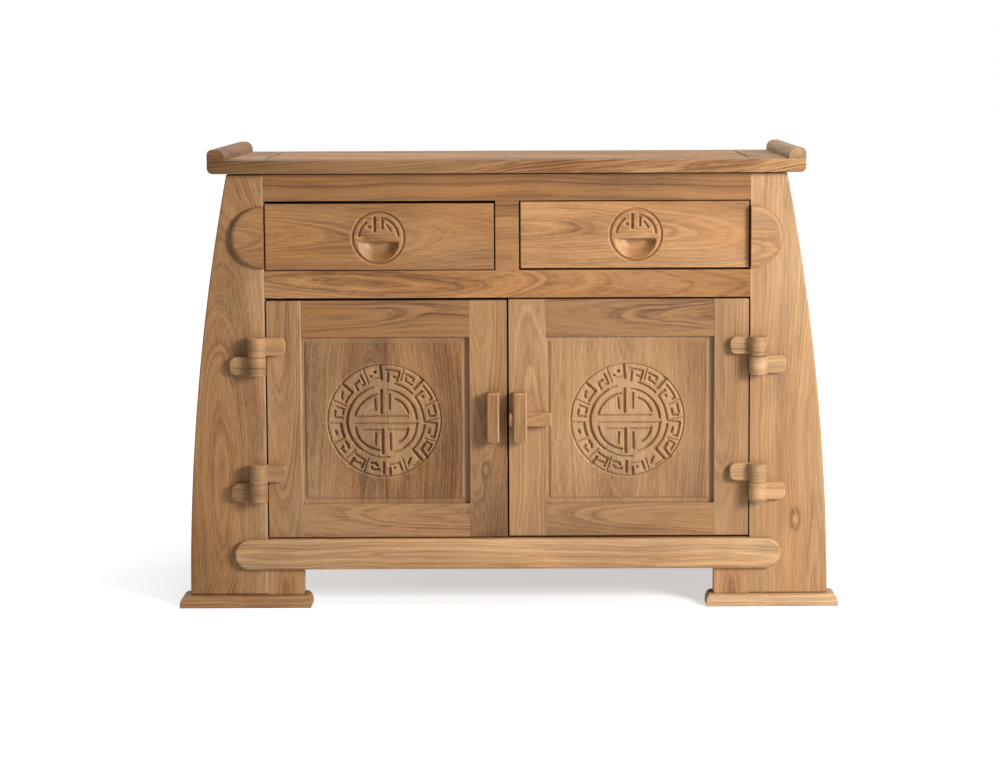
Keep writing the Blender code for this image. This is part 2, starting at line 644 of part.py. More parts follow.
def leaf(name, side, axis, inward, z):
    """Half of a hinge: a knuckle on the pin, with a tongue that lies on the door or on the stile."""
    knuckle = turned(name, axis, KNUCKLE_RADIUS, z)
    round_edges(knuckle, KNUCKLE_EDGE)
    low, high = grown(z, -LEAF_SETBACK)
    corner = LEAF_REACH - LEAF_END_RADIUS
    outline = [(LEAF_ROOT, low)] + arc((corner, low + LEAF_END_RADIUS), LEAF_END_RADIUS, -90, 0, 5)
    outline += arc((corner, high - LEAF_END_RADIUS), LEAF_END_RADIUS, 0, 90, 5)
    outline += [(LEAF_ROOT, high)]
    toward = -side if inward else side
    placed = [(axis[0] + toward * x, height) for x, height in outline]
    tongue = sawn(name + "_tongue", placed, (FACE_Y - FIT - LEAF_THICKNESS, FACE_Y - FIT))
    join(knuckle, tongue)
    return knuckle


def hinge(name, side, place, height):
    axis = (side * HINGE_X, FACE_Y - HINGE_STANDOFF)
    lower = (height - KNUCKLE_HEIGHT, height)
    upper = (height + KNUCKLE_PLAY, height + KNUCKLE_PLAY + KNUCKLE_HEIGHT)
    label = "%s_%s_hinge" % (name, place)
    frame_leaf = leaf(label + "_frame_leaf", side, axis, False, lower)
    door_leaf = leaf(label + "_door_leaf", side, axis, True, upper)
    pin = (height - PIN_HALF_LENGTH, height + PIN_HALF_LENGTH)
    turned(label + "_pin", axis, PIN_RADIUS, pin, TEAK_BROWN)
    cut([frame_leaf, door_leaf], turned(label + "_bore", axis, PIN_RADIUS + FIT, grown(pin)))
    return door_leaf


def keeper(name, side, setback):
    """A block on the lock stile, which the latch bolt passes through or enters."""
    x = mirrored((DOOR_INNER + setback, DOOR_INNER + setback + KEEPER_WIDTH), side)
    z = (KEEPER_Z - KEEPER_HEIGHT / 2, KEEPER_Z + KEEPER_HEIGHT / 2)
    piece = block("latch_keeper_" + name, x, (FACE_Y - FIT - KEEPER_DEPTH, FACE_Y - FIT), z, TEAK_PALE)
    round_edges(piece, KEEPER_ROUNDING, 2)
    return piece


def latch(left_door, right_door):
    left = keeper("left", -1, LEFT_KEEPER_SETBACK)
    right = keeper("right", 1, RIGHT_KEEPER_SETBACK)
    middle = KEEPER_Z - BOLT_DROP
    start = DOOR_INNER + BOLT_PLAY
    rear = FACE_Y - BOLT_STANDOFF
    y = (rear - BOLT_THICKNESS, rear)
    z = (middle - BOLT_HEIGHT / 2, middle + BOLT_HEIGHT / 2)
    bolt = block("latch_bolt", (start, start + BOLT_LENGTH), y, z, TEAK_PALE)
    round_edges(bolt, BOLT_EDGE)
    mouth = -DOOR_INNER - LEFT_KEEPER_SETBACK
    pocket = block("latch_pocket", (mouth - BOLT_POCKET, mouth + FIT), grown(y, BOLT_POCKET_PLAY),
                   grown(z, BOLT_POCKET_PLAY))
    cut([left], pocket)
    slot = block("latch_slot", (start, start + BOLT_LENGTH), grown(y, BOLT_PLAY), grown(z, BOLT_PLAY))
    cut([right], slot)
    left_door.append(left)
    right_door += [right, bolt]


def doors_and_hinges():
    hung = {}
    for name, side in SIDES.items():
        hung[name] = door(name, side)
        for place, height in (("lower", LOWER_HINGE_Z), ("upper", UPPER_HINGE_Z)):
            hung[name].append(hinge(name, side, place, height))
    latch(hung["left"], hung["right"])
    for name, side in SIDES.items():
        hang_on(hung[name], name + "_door_axis", (side * HINGE_X, FACE_Y - HINGE_STANDOFF, DOOR_Z))


clear_scene()
PARTS = new_collection("teak_sideboard")
TOOLS = new_collection("cutters")
carcass()
top()
for drawer_name, drawer_side in SIDES.items():
    drawer(drawer_name, drawer_side)
doors_and_hinges()
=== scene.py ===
# %% [markdown]
# # A teak sideboard, dressed for its photograph
# The sideboard has two drawers over two panelled doors. Its wide stiles flare towards the floor, and every
# fitting is wood: knuckle hinges, latch blocks and a sliding bolt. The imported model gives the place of
# every piece, so this lesson starts by loading it. Each piece that shows is then made again, finer, where
# the frame says that it belongs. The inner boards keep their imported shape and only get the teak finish.

# %% Load the frame
import json
from math import cos, pi, radians, sin

import bmesh
import bpy
import numpy as np
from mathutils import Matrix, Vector

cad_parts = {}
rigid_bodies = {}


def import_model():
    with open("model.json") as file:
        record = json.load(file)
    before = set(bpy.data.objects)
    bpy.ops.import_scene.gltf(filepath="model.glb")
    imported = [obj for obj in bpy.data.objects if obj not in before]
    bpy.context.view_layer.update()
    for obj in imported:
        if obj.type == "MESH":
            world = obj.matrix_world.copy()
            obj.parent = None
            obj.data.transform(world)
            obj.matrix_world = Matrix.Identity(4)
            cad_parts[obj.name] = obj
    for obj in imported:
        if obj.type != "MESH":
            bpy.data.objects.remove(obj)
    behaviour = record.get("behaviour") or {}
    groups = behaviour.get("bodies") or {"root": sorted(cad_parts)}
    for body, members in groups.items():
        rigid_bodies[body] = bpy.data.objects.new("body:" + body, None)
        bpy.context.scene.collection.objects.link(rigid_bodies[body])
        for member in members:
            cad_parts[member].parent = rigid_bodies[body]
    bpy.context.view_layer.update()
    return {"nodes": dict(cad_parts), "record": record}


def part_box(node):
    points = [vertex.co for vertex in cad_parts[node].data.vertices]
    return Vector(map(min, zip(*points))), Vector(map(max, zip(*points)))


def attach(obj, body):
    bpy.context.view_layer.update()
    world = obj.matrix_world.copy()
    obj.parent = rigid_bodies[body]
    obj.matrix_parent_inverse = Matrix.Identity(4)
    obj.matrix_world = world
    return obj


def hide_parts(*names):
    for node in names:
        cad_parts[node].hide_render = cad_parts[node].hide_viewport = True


for leftover in list(bpy.data.objects):
    bpy.data.objects.remove(leftover)
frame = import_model()

# %% [markdown]
# ## The camera
# A product photograph like this is taken from far away with a long lens, so that the uprights stay nearly
# upright. The camera stands about 4.5 m in front, a little above the top and a little to the right, and
# looks down by a few degrees. A small lens shift does the rest of the framing. A stronger shift would keep
# the uprights exactly parallel, but it would push the sideboard out of the other views.

# %% Place the camera
face_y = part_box("front_stile_left")[0].y
camera_data = bpy.data.cameras.new("photo_camera")
camera_data.sensor_width = 36.0
camera_data.lens = 82.92
camera_data.shift_x = -0.0400
camera_data.shift_y = -0.0987
camera = bpy.data.objects.new("photo_camera", camera_data)
camera.location = (0.0656, face_y - 4.480, 1.0776)
camera.rotation_euler = (radians(90 - 5.5), radians(0.22), 0)
bpy.context.scene.collection.objects.link(camera)
bpy.context.scene.camera = camera
print("camera", round(face_y - camera.location.y, 2), "m in front of the face")

# %% [markdown]
# ## Light and floor
# The shadows of the hinges and the latch blocks fall to the left and a little down. So the main light
# stands well to the right, in front, and higher than the top. It is small enough to give those shadows a
# clear but soft edge, and near enough that the right end gets more light than the left. A sun lamp would
# light both ends the same. A weak light in front opens the shadows, a broad one above lights the top, and
# the rest of the studio is white, which the world stands for.

# %% Hang the lamps
scene = bpy.context.scene
scene.view_settings.view_transform = "Standard"
AIM = Vector((0.0, face_y, 0.45))


def soft_box(name, place, watts, width, height):
    lamp = bpy.data.lights.new(name, "AREA")
    lamp.shape = "RECTANGLE"
    lamp.size = width
    lamp.size_y = height
    lamp.energy = watts
    box = bpy.data.objects.new(name, lamp)
    box.location = place
    box.rotation_euler = (AIM - Vector(place)).to_track_quat("-Z", "Y").to_euler()
    scene.collection.objects.link(box)
    return box


soft_box("main_light", (2.35, -2.40, 1.45), 126, 1.00, 1.00)
soft_box("front_fill", (0.4, -4.2, 1.8), 1.5, 2.6, 1.8)
soft_box("ceiling_light", (0.1, -0.4, 3.0), 42, 2.4, 2.0)
print("lamps hung")

# %% [markdown]
# The background of the photograph is pure white. A world that bright would wash out the wood, so the world
# shows white where it is looked at, also in a reflection, and gives the sideboard a calmer light. Shader
# nodes are added through one short helper, because every finish in this lesson is built from them.

# %% Make the world
WORLD_LIGHT = 0.042
WHITE = (1, 1, 1, 1)


def add(tree, kind, inputs=None, **settings):
    """Add a shader node; an input is a value or a socket to link from."""
    node = tree.nodes.new("ShaderNode" + kind)
    for setting, value in settings.items():
        setattr(node, setting, value)
    for socket, value in (inputs or {}).items():
        if isinstance(value, bpy.types.NodeSocket):
            tree.links.new(value, node.inputs[socket])
        else:
            node.inputs[socket].default_value = value
    return node


def maths(tree, operation, first, second=0.0):
    return add(tree, "Math", {0: first, 1: second}, operation=operation).outputs[0]


def plus(tree, first, second):
    return maths(tree, "ADD", first, second)


def minus(tree, first, second):
    return maths(tree, "SUBTRACT", first, second)


def times(tree, first, second):
    return maths(tree, "MULTIPLY", first, second)


def seen_directly(tree):
    """One where the eye, a mirror or a glass looks at the surface, and zero where it only gives light."""
    path = add(tree, "LightPath")
    shown = maths(tree, "MAXIMUM", path.outputs["Is Camera Ray"], path.outputs["Is Glossy Ray"])
    return maths(tree, "MAXIMUM", shown, path.outputs["Is Transmission Ray"])


world = bpy.data.worlds.new("white_studio")
world.use_nodes = True
world.node_tree.nodes.clear()
studio = add(world.node_tree, "Background", {"Color": WHITE, "Strength": WORLD_LIGHT})
white = add(world.node_tree, "Background", {"Color": WHITE, "Strength": 1.0})
shown = seen_directly(world.node_tree)
mixed = add(world.node_tree, "MixShader", {0: shown, 1: studio.outputs[0], 2: white.outputs[0]})
add(world.node_tree, "OutputWorld", {"Surface": mixed.outputs[0]})
scene.world = world
print("world of", WORLD_LIGHT, "behind the white")

# %% [markdown]
# The floor keeps a faint shadow. A white board alone would turn grey towards the back, so the floor that
# the camera sees is a white board plus a glow of its own. Together they are white wherever no shadow falls.
# Further out the glow alone is white, so the floor has no edge. The middle of the glow lies a little to the
# right, which keeps the shadow beside the left foot pale.

# %% Lay the floor
FLOOR_SIZE = 40.0
FLOOR_WHITE = (0.78, 0.80, 0.81, 1)
FLOOR_GLOW = 0.555
GLOW_REACH = (0.1, 2.0)
GLOW_CENTRE = (0.2, 0.0, 0.0)


def blank_finish(name):
    material = bpy.data.materials.new(name)
    material.use_nodes = True
    material.node_tree.nodes.clear()
    return material, material.node_tree


def floor_finish():
    material, tree = blank_finish("white_floor")
    board = add(tree, "BsdfDiffuse", {"Color": FLOOR_WHITE})
    place = add(tree, "TexCoord").outputs["Object"]
    distance = add(tree, "VectorMath", {0: place, 1: GLOW_CENTRE}, operation="DISTANCE").outputs["Value"]
    near, far = GLOW_REACH
    reach = {"Value": distance, "From Min": near, "From Max": far, "To Min": FLOOR_GLOW, "To Max": 1.0}
    strength = add(tree, "MapRange", reach, interpolation_type="SMOOTHSTEP").outputs[0]
    glow = add(tree, "Emission", {"Color": WHITE, "Strength": strength})
    shown = add(tree, "AddShader", {0: board.outputs[0], 1: glow.outputs[0]})
    surface = add(tree, "MixShader", {0: seen_directly(tree), 1: board.outputs[0], 2: shown.outputs[0]})
    add(tree, "OutputMaterial", {"Surface": surface.outputs[0]})
    return material


floor_mesh = bpy.data.meshes.new("floor")
floor_shape = bmesh.new()
bmesh.ops.create_grid(floor_shape, x_segments=1, y_segments=1, size=FLOOR_SIZE / 2)
floor_shape.to_mesh(floor_mesh)
floor_shape.free()
floor_mesh.materials.append(floor_finish())
floor = bpy.data.objects.new("floor", floor_mesh)
scene.collection.objects.link(floor)
print("floor laid,", FLOOR_SIZE, "m wide")

# %% [markdown]
# ## The teak
# Teak that has been sanded and oiled shows growth rings, fine pores and broad changes of colour. A board
# cut flat from the log shows arches, and a board cut along a radius shows straight lines. A photograph of
# wood could be stretched over each board, but it would repeat. Arches and lines both come from one thing,
# the distance from the heart of the tree, so this finish works that out. Every piece carries its own grain
# coordinates: along the grain, and the two distances from the heart of its log. These helpers make noise
# that is stretched along the grain, and bend the grain with it.

# %% Stretch and bend the grain
def vectors(tree, operation, first, second):
    return add(tree, "VectorMath", {0: first, 1: second}, operation=operation).outputs[0]


def length_of(tree, vector):
    return add(tree, "VectorMath", {0: vector}, operation="LENGTH").outputs["Value"]


def stretched_noise(tree, grain, stretch, detail=2.0, roughness=0.55):
    scaled = vectors(tree, "MULTIPLY", grain, stretch)
    return add(tree, "TexNoise", {"Vector": scaled, "Scale": 1.0, "Detail": detail, "Roughness": roughness})


def line_noise(tree, place, scale, detail):
    """Noise that follows one number only, such as the number of a ring."""
    inputs = {"W": place, "Scale": scale, "Detail": detail}
    return add(tree, "TexNoise", inputs, noise_dimensions="1D").outputs[0]


def soft_step(tree, value, low, high):
    return add(tree, "MapRange", {"Value": value, "From Min": low, "From Max": high},
               interpolation_type="SMOOTHSTEP").outputs[0]


def blended(tree, share, first, second, blend="MIX"):
    return add(tree, "Mix", {0: share, 6: first, 7: second}, data_type="RGBA", blend_type=blend).outputs[2]


def bent_grain(tree, grain, stretch, amount):
    """The grain moved sideways by smooth noise."""
    noise = stretched_noise(tree, grain, stretch, 1.5).outputs["Color"]
    noise = vectors(tree, "SUBTRACT", noise, (0.5, 0.5, 0.5))
    noise = vectors(tree, "MULTIPLY", noise, (0.0, amount, amount))
    return vectors(tree, "ADD", grain, noise)


print("grain helpers ready")

# %% [markdown]
# ### Rings, streaks and pores
# Each ring of a tree starts pale and ends at a dark line, and no two years are the same. On top of the
# rings lie bands and lines that follow the ring number, streaks and fibres along the grain, broad blotches,
# dark pores and a few pale flecks. They could be mixed in one by one. Here they add up to one number, how
# dark the wood is, so that one factor makes the whole figure of a board calmer or livelier. A knot pulls
# the rings round itself, and has a dark rim and a paler heart.

# %% Draw the figure
RING_WIDTH = 0.0060
RING_WANDER = 0.042
RING_TREMBLE = 0.0034
RING_UNEVEN = {"scale": 34.0, "amount": 1.6}
YEAR_STEP = 7.31
MIDDLE_DARK = 0.42
KNOT_PULL = 0.016
KNOT_RIM = {"place": 0.8, "width": 0.38, "dark": 0.42}
KNOT_HEART = {"narrow": -4.0, "pale": 0.28}


def growth_rings(tree, bent, knot_pull):
    """The place of a point between two rings, and the number of its ring."""
    across = vectors(tree, "MULTIPLY", bent, (0.0, 1.0, 1.0))
    radius = plus(tree, length_of(tree, across), knot_pull)
    uneven = line_noise(tree, radius, RING_UNEVEN["scale"], 1.0)
    number = maths(tree, "DIVIDE", radius, RING_WIDTH)
    number = plus(tree, number, times(tree, uneven, RING_UNEVEN["amount"]))
    return maths(tree, "FRACT", number), number


def late_wood(tree, place, number):
    """Rings darken slowly outwards and end at a sharp line. Some years leave a stronger line than others."""
    ramp = add(tree, "ValToRGB", {"Fac": place})
    stops = ramp.color_ramp.elements
    stops[0].position, stops[0].color = 0.0, (0.18, 0.18, 0.18, 1)
    stops[1].position, stops[1].color = 1.0, (0.20, 0.20, 0.20, 1)
    for position, grey in ((0.30, 0.0), (0.66, 0.22), (0.82, 1.0), (0.90, 0.70)):
        stops.new(position).color = (grey, grey, grey, 1)
    year = times(tree, maths(tree, "FLOOR", number), YEAR_STEP)
    strength = line_noise(tree, year, 1.0, 0.0)
    return times(tree, ramp.outputs["Color"], soft_step(tree, strength, 0.28, 0.78))


def teak_figure(tree, grain, mark, contrast):
    """How dark the wood is at a point, from 0 to 1, with the height of its pores."""
    knot_distance = length_of(tree, vectors(tree, "MULTIPLY", mark, (1.0, 1.0, 0.0)))
    nearness = maths(tree, "DIVIDE", 1.0, plus(tree, maths(tree, "POWER", knot_distance, 2.0), 1.0))
    bent = bent_grain(tree, grain, (2.4, 4.0, 4.0), RING_WANDER)
    bent = bent_grain(tree, bent, (14.0, 42.0, 42.0), RING_TREMBLE)
    place, number = growth_rings(tree, bent, times(tree, nearness, KNOT_PULL))
    rings = late_wood(tree, place, number)
    bands = line_noise(tree, number, 0.36, 1.0)
    lines = line_noise(tree, number, 1.9, 2.5)
    streaks = stretched_noise(tree, bent, (0.9, 80.0, 80.0), 2.0, 0.6).outputs[0]
    fine = stretched_noise(tree, bent, (2.2, 325.0, 325.0), 1.5, 0.6).outputs[0]
    fibres = soft_step(tree, fine, 0.33, 0.67)
    blotches = stretched_noise(tree, bent, (2.2, 9.0, 9.0), 3.0, 0.55).outputs[0]
    dashes = stretched_noise(tree, grain, (75.0, 1500.0, 1500.0), 1.0).outputs[0]
    pores = soft_step(tree, dashes, 0.60, 0.72)
    ticks = stretched_noise(tree, bent, (38.0, 520.0, 520.0), 1.0).outputs[0]
    flecks = soft_step(tree, ticks, 0.59, 0.74)
    dark = MIDDLE_DARK
    for layer, strength, middle in (
            (rings, 0.34, 0.14), (bands, 0.60, 0.5), (lines, 0.72, 0.5), (streaks, 0.36, 0.5),
            (fibres, 0.20, 0.5), (blotches, 1.25, 0.5), (pores, 0.12, 0.1), (flecks, -0.15, 0.05)):
        step = times(tree, minus(tree, layer, middle), strength)
        dark = plus(tree, times(tree, step, contrast), dark)
    rim = maths(tree, "DIVIDE", minus(tree, knot_distance, KNOT_RIM["place"]), KNOT_RIM["width"])
    rim = maths(tree, "EXPONENT", times(tree, times(tree, rim, rim), -1.0))
    dark = plus(tree, dark, times(tree, rim, KNOT_RIM["dark"]))
    heart = times(tree, maths(tree, "POWER", knot_distance, 2.0), KNOT_HEART["narrow"])
    heart = times(tree, maths(tree, "EXPONENT", heart), KNOT_HEART["pale"])
    dark = minus(tree, dark, heart)
    height = minus(tree, plus(tree, fibres, times(tree, rings, -0.35)), pores)
    return maths(tree, "MINIMUM", maths(tree, "MAXIMUM", dark, 0.0), 1.0), height


print("figure drawn in rings of", RING_WIDTH, "m")

# %% [markdown]
# ### Colour and oil
# The figure picks a colour between pale and dark teak. The tone of the board then makes it lighter or
# darker, and redder or sandier. One number carries wear and painted light. Above zero it mixes in brown,
# for old oil and painted shade at the bottom of the carving. Below zero it mixes in sapwood, for edges
# rubbed pale by hands, for painted highlights on lit edges, ridges and scoops, and for painted light on the
# sunk panel margins. One finish could serve the whole sideboard. There is one for each material slot of
# the imported record instead, because the top is more matt than the fittings.

# %% Mix the teak
PALE_TEAK = (0.640, 0.325, 0.123, 1)
DARK_TEAK = (0.200, 0.076, 0.020, 1)
SAPWOOD = (0.800, 0.560, 0.310, 1)
GROOVE_OIL_AND_SHADE_BROWN = (0.76, 0.58, 0.38, 1)
SAP_SHARE = 0.40
SAP_WANDER = 0.008
SAP_SOFT = 0.0015
RUBBED_AND_LIT_SHARE = 0.30
MELLOW = 3.6
PORES_ROUGHER = 0.10
FIBRES_SMOOTHER = 0.06
RUBBED_SMOOTHER = 0.06
SANDY = {"green": 0.10, "blue": 0.28}


def attribute(tree, name):
    return add(tree, "Attribute", attribute_name=name)


def teak_colour(tree, dark, grain, tone, mark, wear):
    """The colour of the wood from its figure, its tone, its sapwood, its wear and its painted shade and
    highlights.
    """
    colour = blended(tree, dark, PALE_TEAK, DARK_TEAK)
    edge = stretched_noise(tree, grain, (6.0, 60.0, 60.0), 2.0).outputs[0]
    sap = plus(tree, mark, times(tree, minus(tree, edge, 0.5), SAP_WANDER))
    sap = times(tree, soft_step(tree, sap, -SAP_SOFT, SAP_SOFT), SAP_SHARE)
    colour = blended(tree, sap, colour, SAPWOOD)
    brightness, warmth = tone
    mellow = stretched_noise(tree, grain, (1.9, 9.0, 9.0), 2.0).outputs[0]
    warmth = plus(tree, warmth, times(tree, minus(tree, mellow, 0.5), MELLOW))
    green, blue = (plus(tree, 1.0, times(tree, warmth, SANDY[hue])) for hue in SANDY)
    faded = add(tree, "CombineColor", {0: 1.0, 1: green, 2: blue}).outputs[0]
    colour = vectors(tree, "MULTIPLY", colour, faded)
    colour = add(tree, "VectorMath", {0: colour, 3: brightness}, operation="SCALE").outputs[0]
    # Above zero, brown stands for old oil and painted shade in the grooves; below zero, sapwood stands for
    # rubbed edges, painted highlights and painted light on the panel margins.
    hollow = maths(tree, "MAXIMUM", wear, 0.0)
    colour = blended(tree, hollow, colour, blended(tree, 1.0, colour, GROOVE_OIL_AND_SHADE_BROWN, "MULTIPLY"))
    rubbed_and_lit = maths(tree, "MAXIMUM", times(tree, wear, -1.0), 0.0)
    return blended(tree, times(tree, rubbed_and_lit, RUBBED_AND_LIT_SHARE), colour, SAPWOOD)


def finish_surface(tree, colour, height, roughness, wear=0.0, shine=0.5):
    """Oiled wood: pores are rougher than the fibres between them, and rubbed places are smoother."""
    shader = add(tree, "BsdfPrincipled", {"Base Color": colour, "Metallic": 0.0, "IOR": 1.45,
                                            "Specular IOR Level": shine})
    gloss = add(tree, "MapRange", {"Value": height, "From Min": -0.4, "From Max": 0.7,
                                   "To Min": roughness + PORES_ROUGHER,
                                   "To Max": roughness - FIBRES_SMOOTHER}).outputs[0]
    gloss = plus(tree, gloss, times(tree, maths(tree, "MINIMUM", wear, 0.0), RUBBED_SMOOTHER))
    tree.links.new(gloss, shader.inputs["Roughness"])
    bump = add(tree, "Bump", {"Strength": 0.30, "Distance": 0.0005, "Height": height})
    tree.links.new(bump.outputs[0], shader.inputs["Normal"])
    add(tree, "OutputMaterial", {"Surface": shader.outputs[0]})


def worked_teak(name, roughness, shine):
    """Teak for the pieces made here, which carry their own grain, tone, marks and wear."""
    material, tree = blank_finish(name)
    grain = attribute(tree, "grain").outputs["Vector"]
    mark = attribute(tree, "mark").outputs["Vector"]
    tone = add(tree, "SeparateXYZ", {0: attribute(tree, "tone").outputs["Vector"]}).outputs
    sap = add(tree, "SeparateXYZ", {0: mark}).outputs[2]
    wear = attribute(tree, "wear").outputs["Fac"]
    dark, height = teak_figure(tree, grain, mark, tone[2])
    colour = teak_colour(tree, dark, grain, (tone[0], tone[1]), sap, wear)
    finish_surface(tree, colour, height, roughness, wear, shine)
    return material


INNER_ROUGHNESS = 0.62
TEAK = {slot: worked_teak(slot, roughness, shine) for slot, roughness, shine in (
    ("teak_top", 0.58, 0.36), ("teak_frame", 0.56, 0.5), ("teak_drawers", 0.54, 0.5),
    ("teak_doors", 0.56, 0.5), ("teak_fittings", 0.52, 0.5), ("teak_boards", INNER_ROUGHNESS, 0.5))}
print("finishes:", ", ".join(TEAK))

# %% [markdown]
# ## Boards with their own grain
# A joiner picks each board by its figure. Here a board's choice is a few words and numbers: the way the
# grain runs, flat-cut or straight-cut, its tone, and a seed that moves it to another place in the log. A
# texture map could carry them, but it would have to be unwrapped and painted. Here they go on the mesh as
# attributes. They change evenly over a board, so even a board with few faces carries them exactly.

# %% Give a piece its grain
AXES = {"X": (0, 1, 2), "Y": (1, 0, 2), "Z": (2, 0, 1)}
NO_MARK = (99.0, 99.0, -1.0)
LOG_REACH = 40
LOG_LEAN = 0.012
CUTS_FROM_LOG = {"flat": ((-0.02, 0.02), (0.030, 0.055), (0.05, 0.11)),
                 "straight": ((0.14, 0.26), (0.02, 0.08), (0.0, 0.02))}


def log_place(cut, seed):
    """Where a board lies in its log: shift along it, sideways and depth to the heart, and two slopes."""
    draw = np.random.default_rng(seed)
    shift = draw.uniform(-LOG_REACH, LOG_REACH)
    lean = draw.uniform(-LOG_LEAN, LOG_LEAN)
    sign = draw.choice((-1.0, 1.0))
    aside, heart, rise = (draw.uniform(*limits) for limits in CUTS_FROM_LOG[cut])
    return shift, aside * (sign if cut == "straight" else 1.0), heart, lean, sign * rise


def set_attribute(mesh, name, kind, values):
    layer = mesh.attributes.get(name) or mesh.attributes.new(name, kind, "POINT")
    field = "value" if kind == "FLOAT" else "vector"
    layer.data.foreach_set(field, np.ascontiguousarray(values, np.float32).ravel())


def add_grain(mesh, along, cut, seed, tone, knot=None, sap=None, wear=None, swell=None, fade=None, log=None,
              glued=None):
    """Lay grain, marks, tone, and wear with painted light on a mesh. A knot is a place in the front view with
    its two sizes.
    """
    points = np.zeros(len(mesh.vertices) * 3, np.float32)
    mesh.vertices.foreach_get("co", points)
    points = points.reshape(-1, 3).astype(float)
    middle = (points.min(0) + points.max(0)) / 2
    length, width, depth = AXES[along]
    u, v, w = (points[:, axis] - middle[axis] for axis in (length, width, depth))
    if abs(np.ptp(w)) > abs(np.ptp(v)):
        v, w = w, v

    def grain_in(cut, seed):
        shift, aside, heart, lean, rise = log_place(cut, seed)
        if log:
            aside, heart, rise = log
        if swell:
            amount, place, length_of_wave = swell
            heart = heart + amount * np.cos(2 * pi * (u - place) / length_of_wave)
            rise = 0.0
        return np.stack([u + shift, v + aside + lean * u, w + heart + rise * u], 1)

    grain = grain_in(cut, seed)
    if glued:
        second = (points[:, 0] > glued[0])[:, None]
        grain = np.where(second, grain_in(cut, glued[1]), grain)
    marks = np.tile(NO_MARK, (len(points), 1))
    if knot:
        x, z, wide, tall = knot
        marks[:, 0] = (points[:, 0] - x) / wide
        marks[:, 1] = (points[:, 2] - z) / tall
    if sap:
        edge, direction = sap
        marks[:, 2] = (points[:, 0] - edge) * direction
    set_attribute(mesh, "grain", "FLOAT_VECTOR", grain)
    set_attribute(mesh, "mark", "FLOAT_VECTOR", marks)
    tones = np.tile(tone, (len(points), 1))
    if fade:
        axis, lighter, sandier = fade
        share = (points[:, axis] - middle[axis]) / np.ptp(points[:, axis])
        tones[:, 0] *= 1 + lighter * share
        tones[:, 1] += sandier * share
    set_attribute(mesh, "tone", "FLOAT_VECTOR", tones)
    set_attribute(mesh, "wear", "FLOAT", np.zeros(len(points)) if wear is None else wear)


print("every board carries its grain, marks, tone and wear")

# %% [markdown]
# ## Tones of the boards
# No two boards of the sideboard match. Chance could choose their tones, but a maker would sort them.
# So each board gets how light it is, its hue from reddish (below zero) to faded and sandy (above zero), and
# a word for how lively its figure is.

# %% Sort the boards by tone
FIGURE = {"calm": 0.9, "even": 1.15, "lively": 1.5, "wild": 2.0}
SORTED_BOARDS = {
    "front_stile_left": (0.785, 0.25, "even"), "front_stile_right": (0.925, 1.2, "calm"),
    "front_top_rail": (0.585, -0.75, "even"), "front_middle_rail": (0.72, -0.5, "lively"),
    "drawer_divider": (0.70, 0.05, "even"), "front_bottom_rail": (1.02, 1.6, "even"),
    "leg_block_left": (0.89, 0.3, "even"), "leg_block_right": (0.87, 0.3, "even"),
    "boss_left": (0.79, 0.0, "calm"), "boss_right": (0.86, 0.5, "calm"),
    "foot_front_left": (0.84, 0.9, "lively"), "foot_front_right": (1.24, 2.9, "even"),
    "top_front_strip": (0.585, 0.1, "wild"), "top_scroll_left": (0.47, -0.2, "lively"),
    "top_scroll_right": (0.86, 2.3, "even"),
    "left_drawer_front": (0.715, -0.4, "even"), "right_drawer_front": (0.83, 0.1, "even"),
    "left_door_hinge_stile": (0.765, 0.7, "even"), "left_door_lock_stile": (0.615, 0.3, "lively"),
    "left_door_top_rail": (0.51, -0.4, "wild"), "left_door_bottom_rail": (0.63, 0.8, "wild"),
    "left_door_panel": (0.60, 0.05, "lively"),
    "right_door_hinge_stile": (0.695, 0.7, "calm"), "right_door_lock_stile": (0.75, 1.2, "even"),
    "right_door_top_rail": (0.50, 0.0, "wild"), "right_door_bottom_rail": (0.635, 0.25, "even"),
    "right_door_panel": (0.71, 0.5, "even"),
    "right_upper_hinge_door_leaf": (0.82, 1.4, "calm"), "right_upper_hinge_frame_leaf": (0.93, 1.6, "calm"),
    "right_lower_hinge_door_leaf": (0.82, 1.2, "calm"), "right_lower_hinge_frame_leaf": (0.93, 1.2, "calm"),
    "latch_keeper_left": (0.68, 0.4, "even"), "latch_keeper_right": (0.68, 0.4, "even"),
    "latch_bolt": (0.75, 0.4, "even"),
}
for leaf in ("upper_hinge_door", "upper_hinge_frame", "lower_hinge_door", "lower_hinge_frame"):
    SORTED_BOARDS["left_%s_leaf" % leaf] = (0.78, 0.9, "calm")
TONES = {board: (light, hue, FIGURE[figure]) for board, (light, hue, figure) in SORTED_BOARDS.items()}
PLAIN = (0.75, 0.3, FIGURE["even"])
TOP_TONE = (0.77, 0.5, FIGURE["lively"])
print("boards sorted:", len(TONES))

# %% [markdown]
# ## From a shape to a piece
# Every new piece is treated the same way: it gets its finish and its grain, rides on the body that moves
# it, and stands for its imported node. Flat shading would show every facet of a rounded edge, and smooth
# shading would bend the broad faces. So the normals are weighted by face size, which keeps broad faces flat
# beside their rounded edges.

# %% Make pieces ride
BODY_OF = {node: body for body, nodes in frame["record"]["behaviour"]["bodies"].items() for node in nodes}
SLOT_OF = {part["node"]: part["material_slot"] for part in frame["record"]["subparts"]}
SHARP = radians(50)
made = []


def as_mesh(shape, name):
    mesh = bpy.data.meshes.new(name)
    bmesh.ops.recalc_face_normals(shape, faces=shape.faces)
    shape.to_mesh(mesh)
    shape.free()
    return mesh


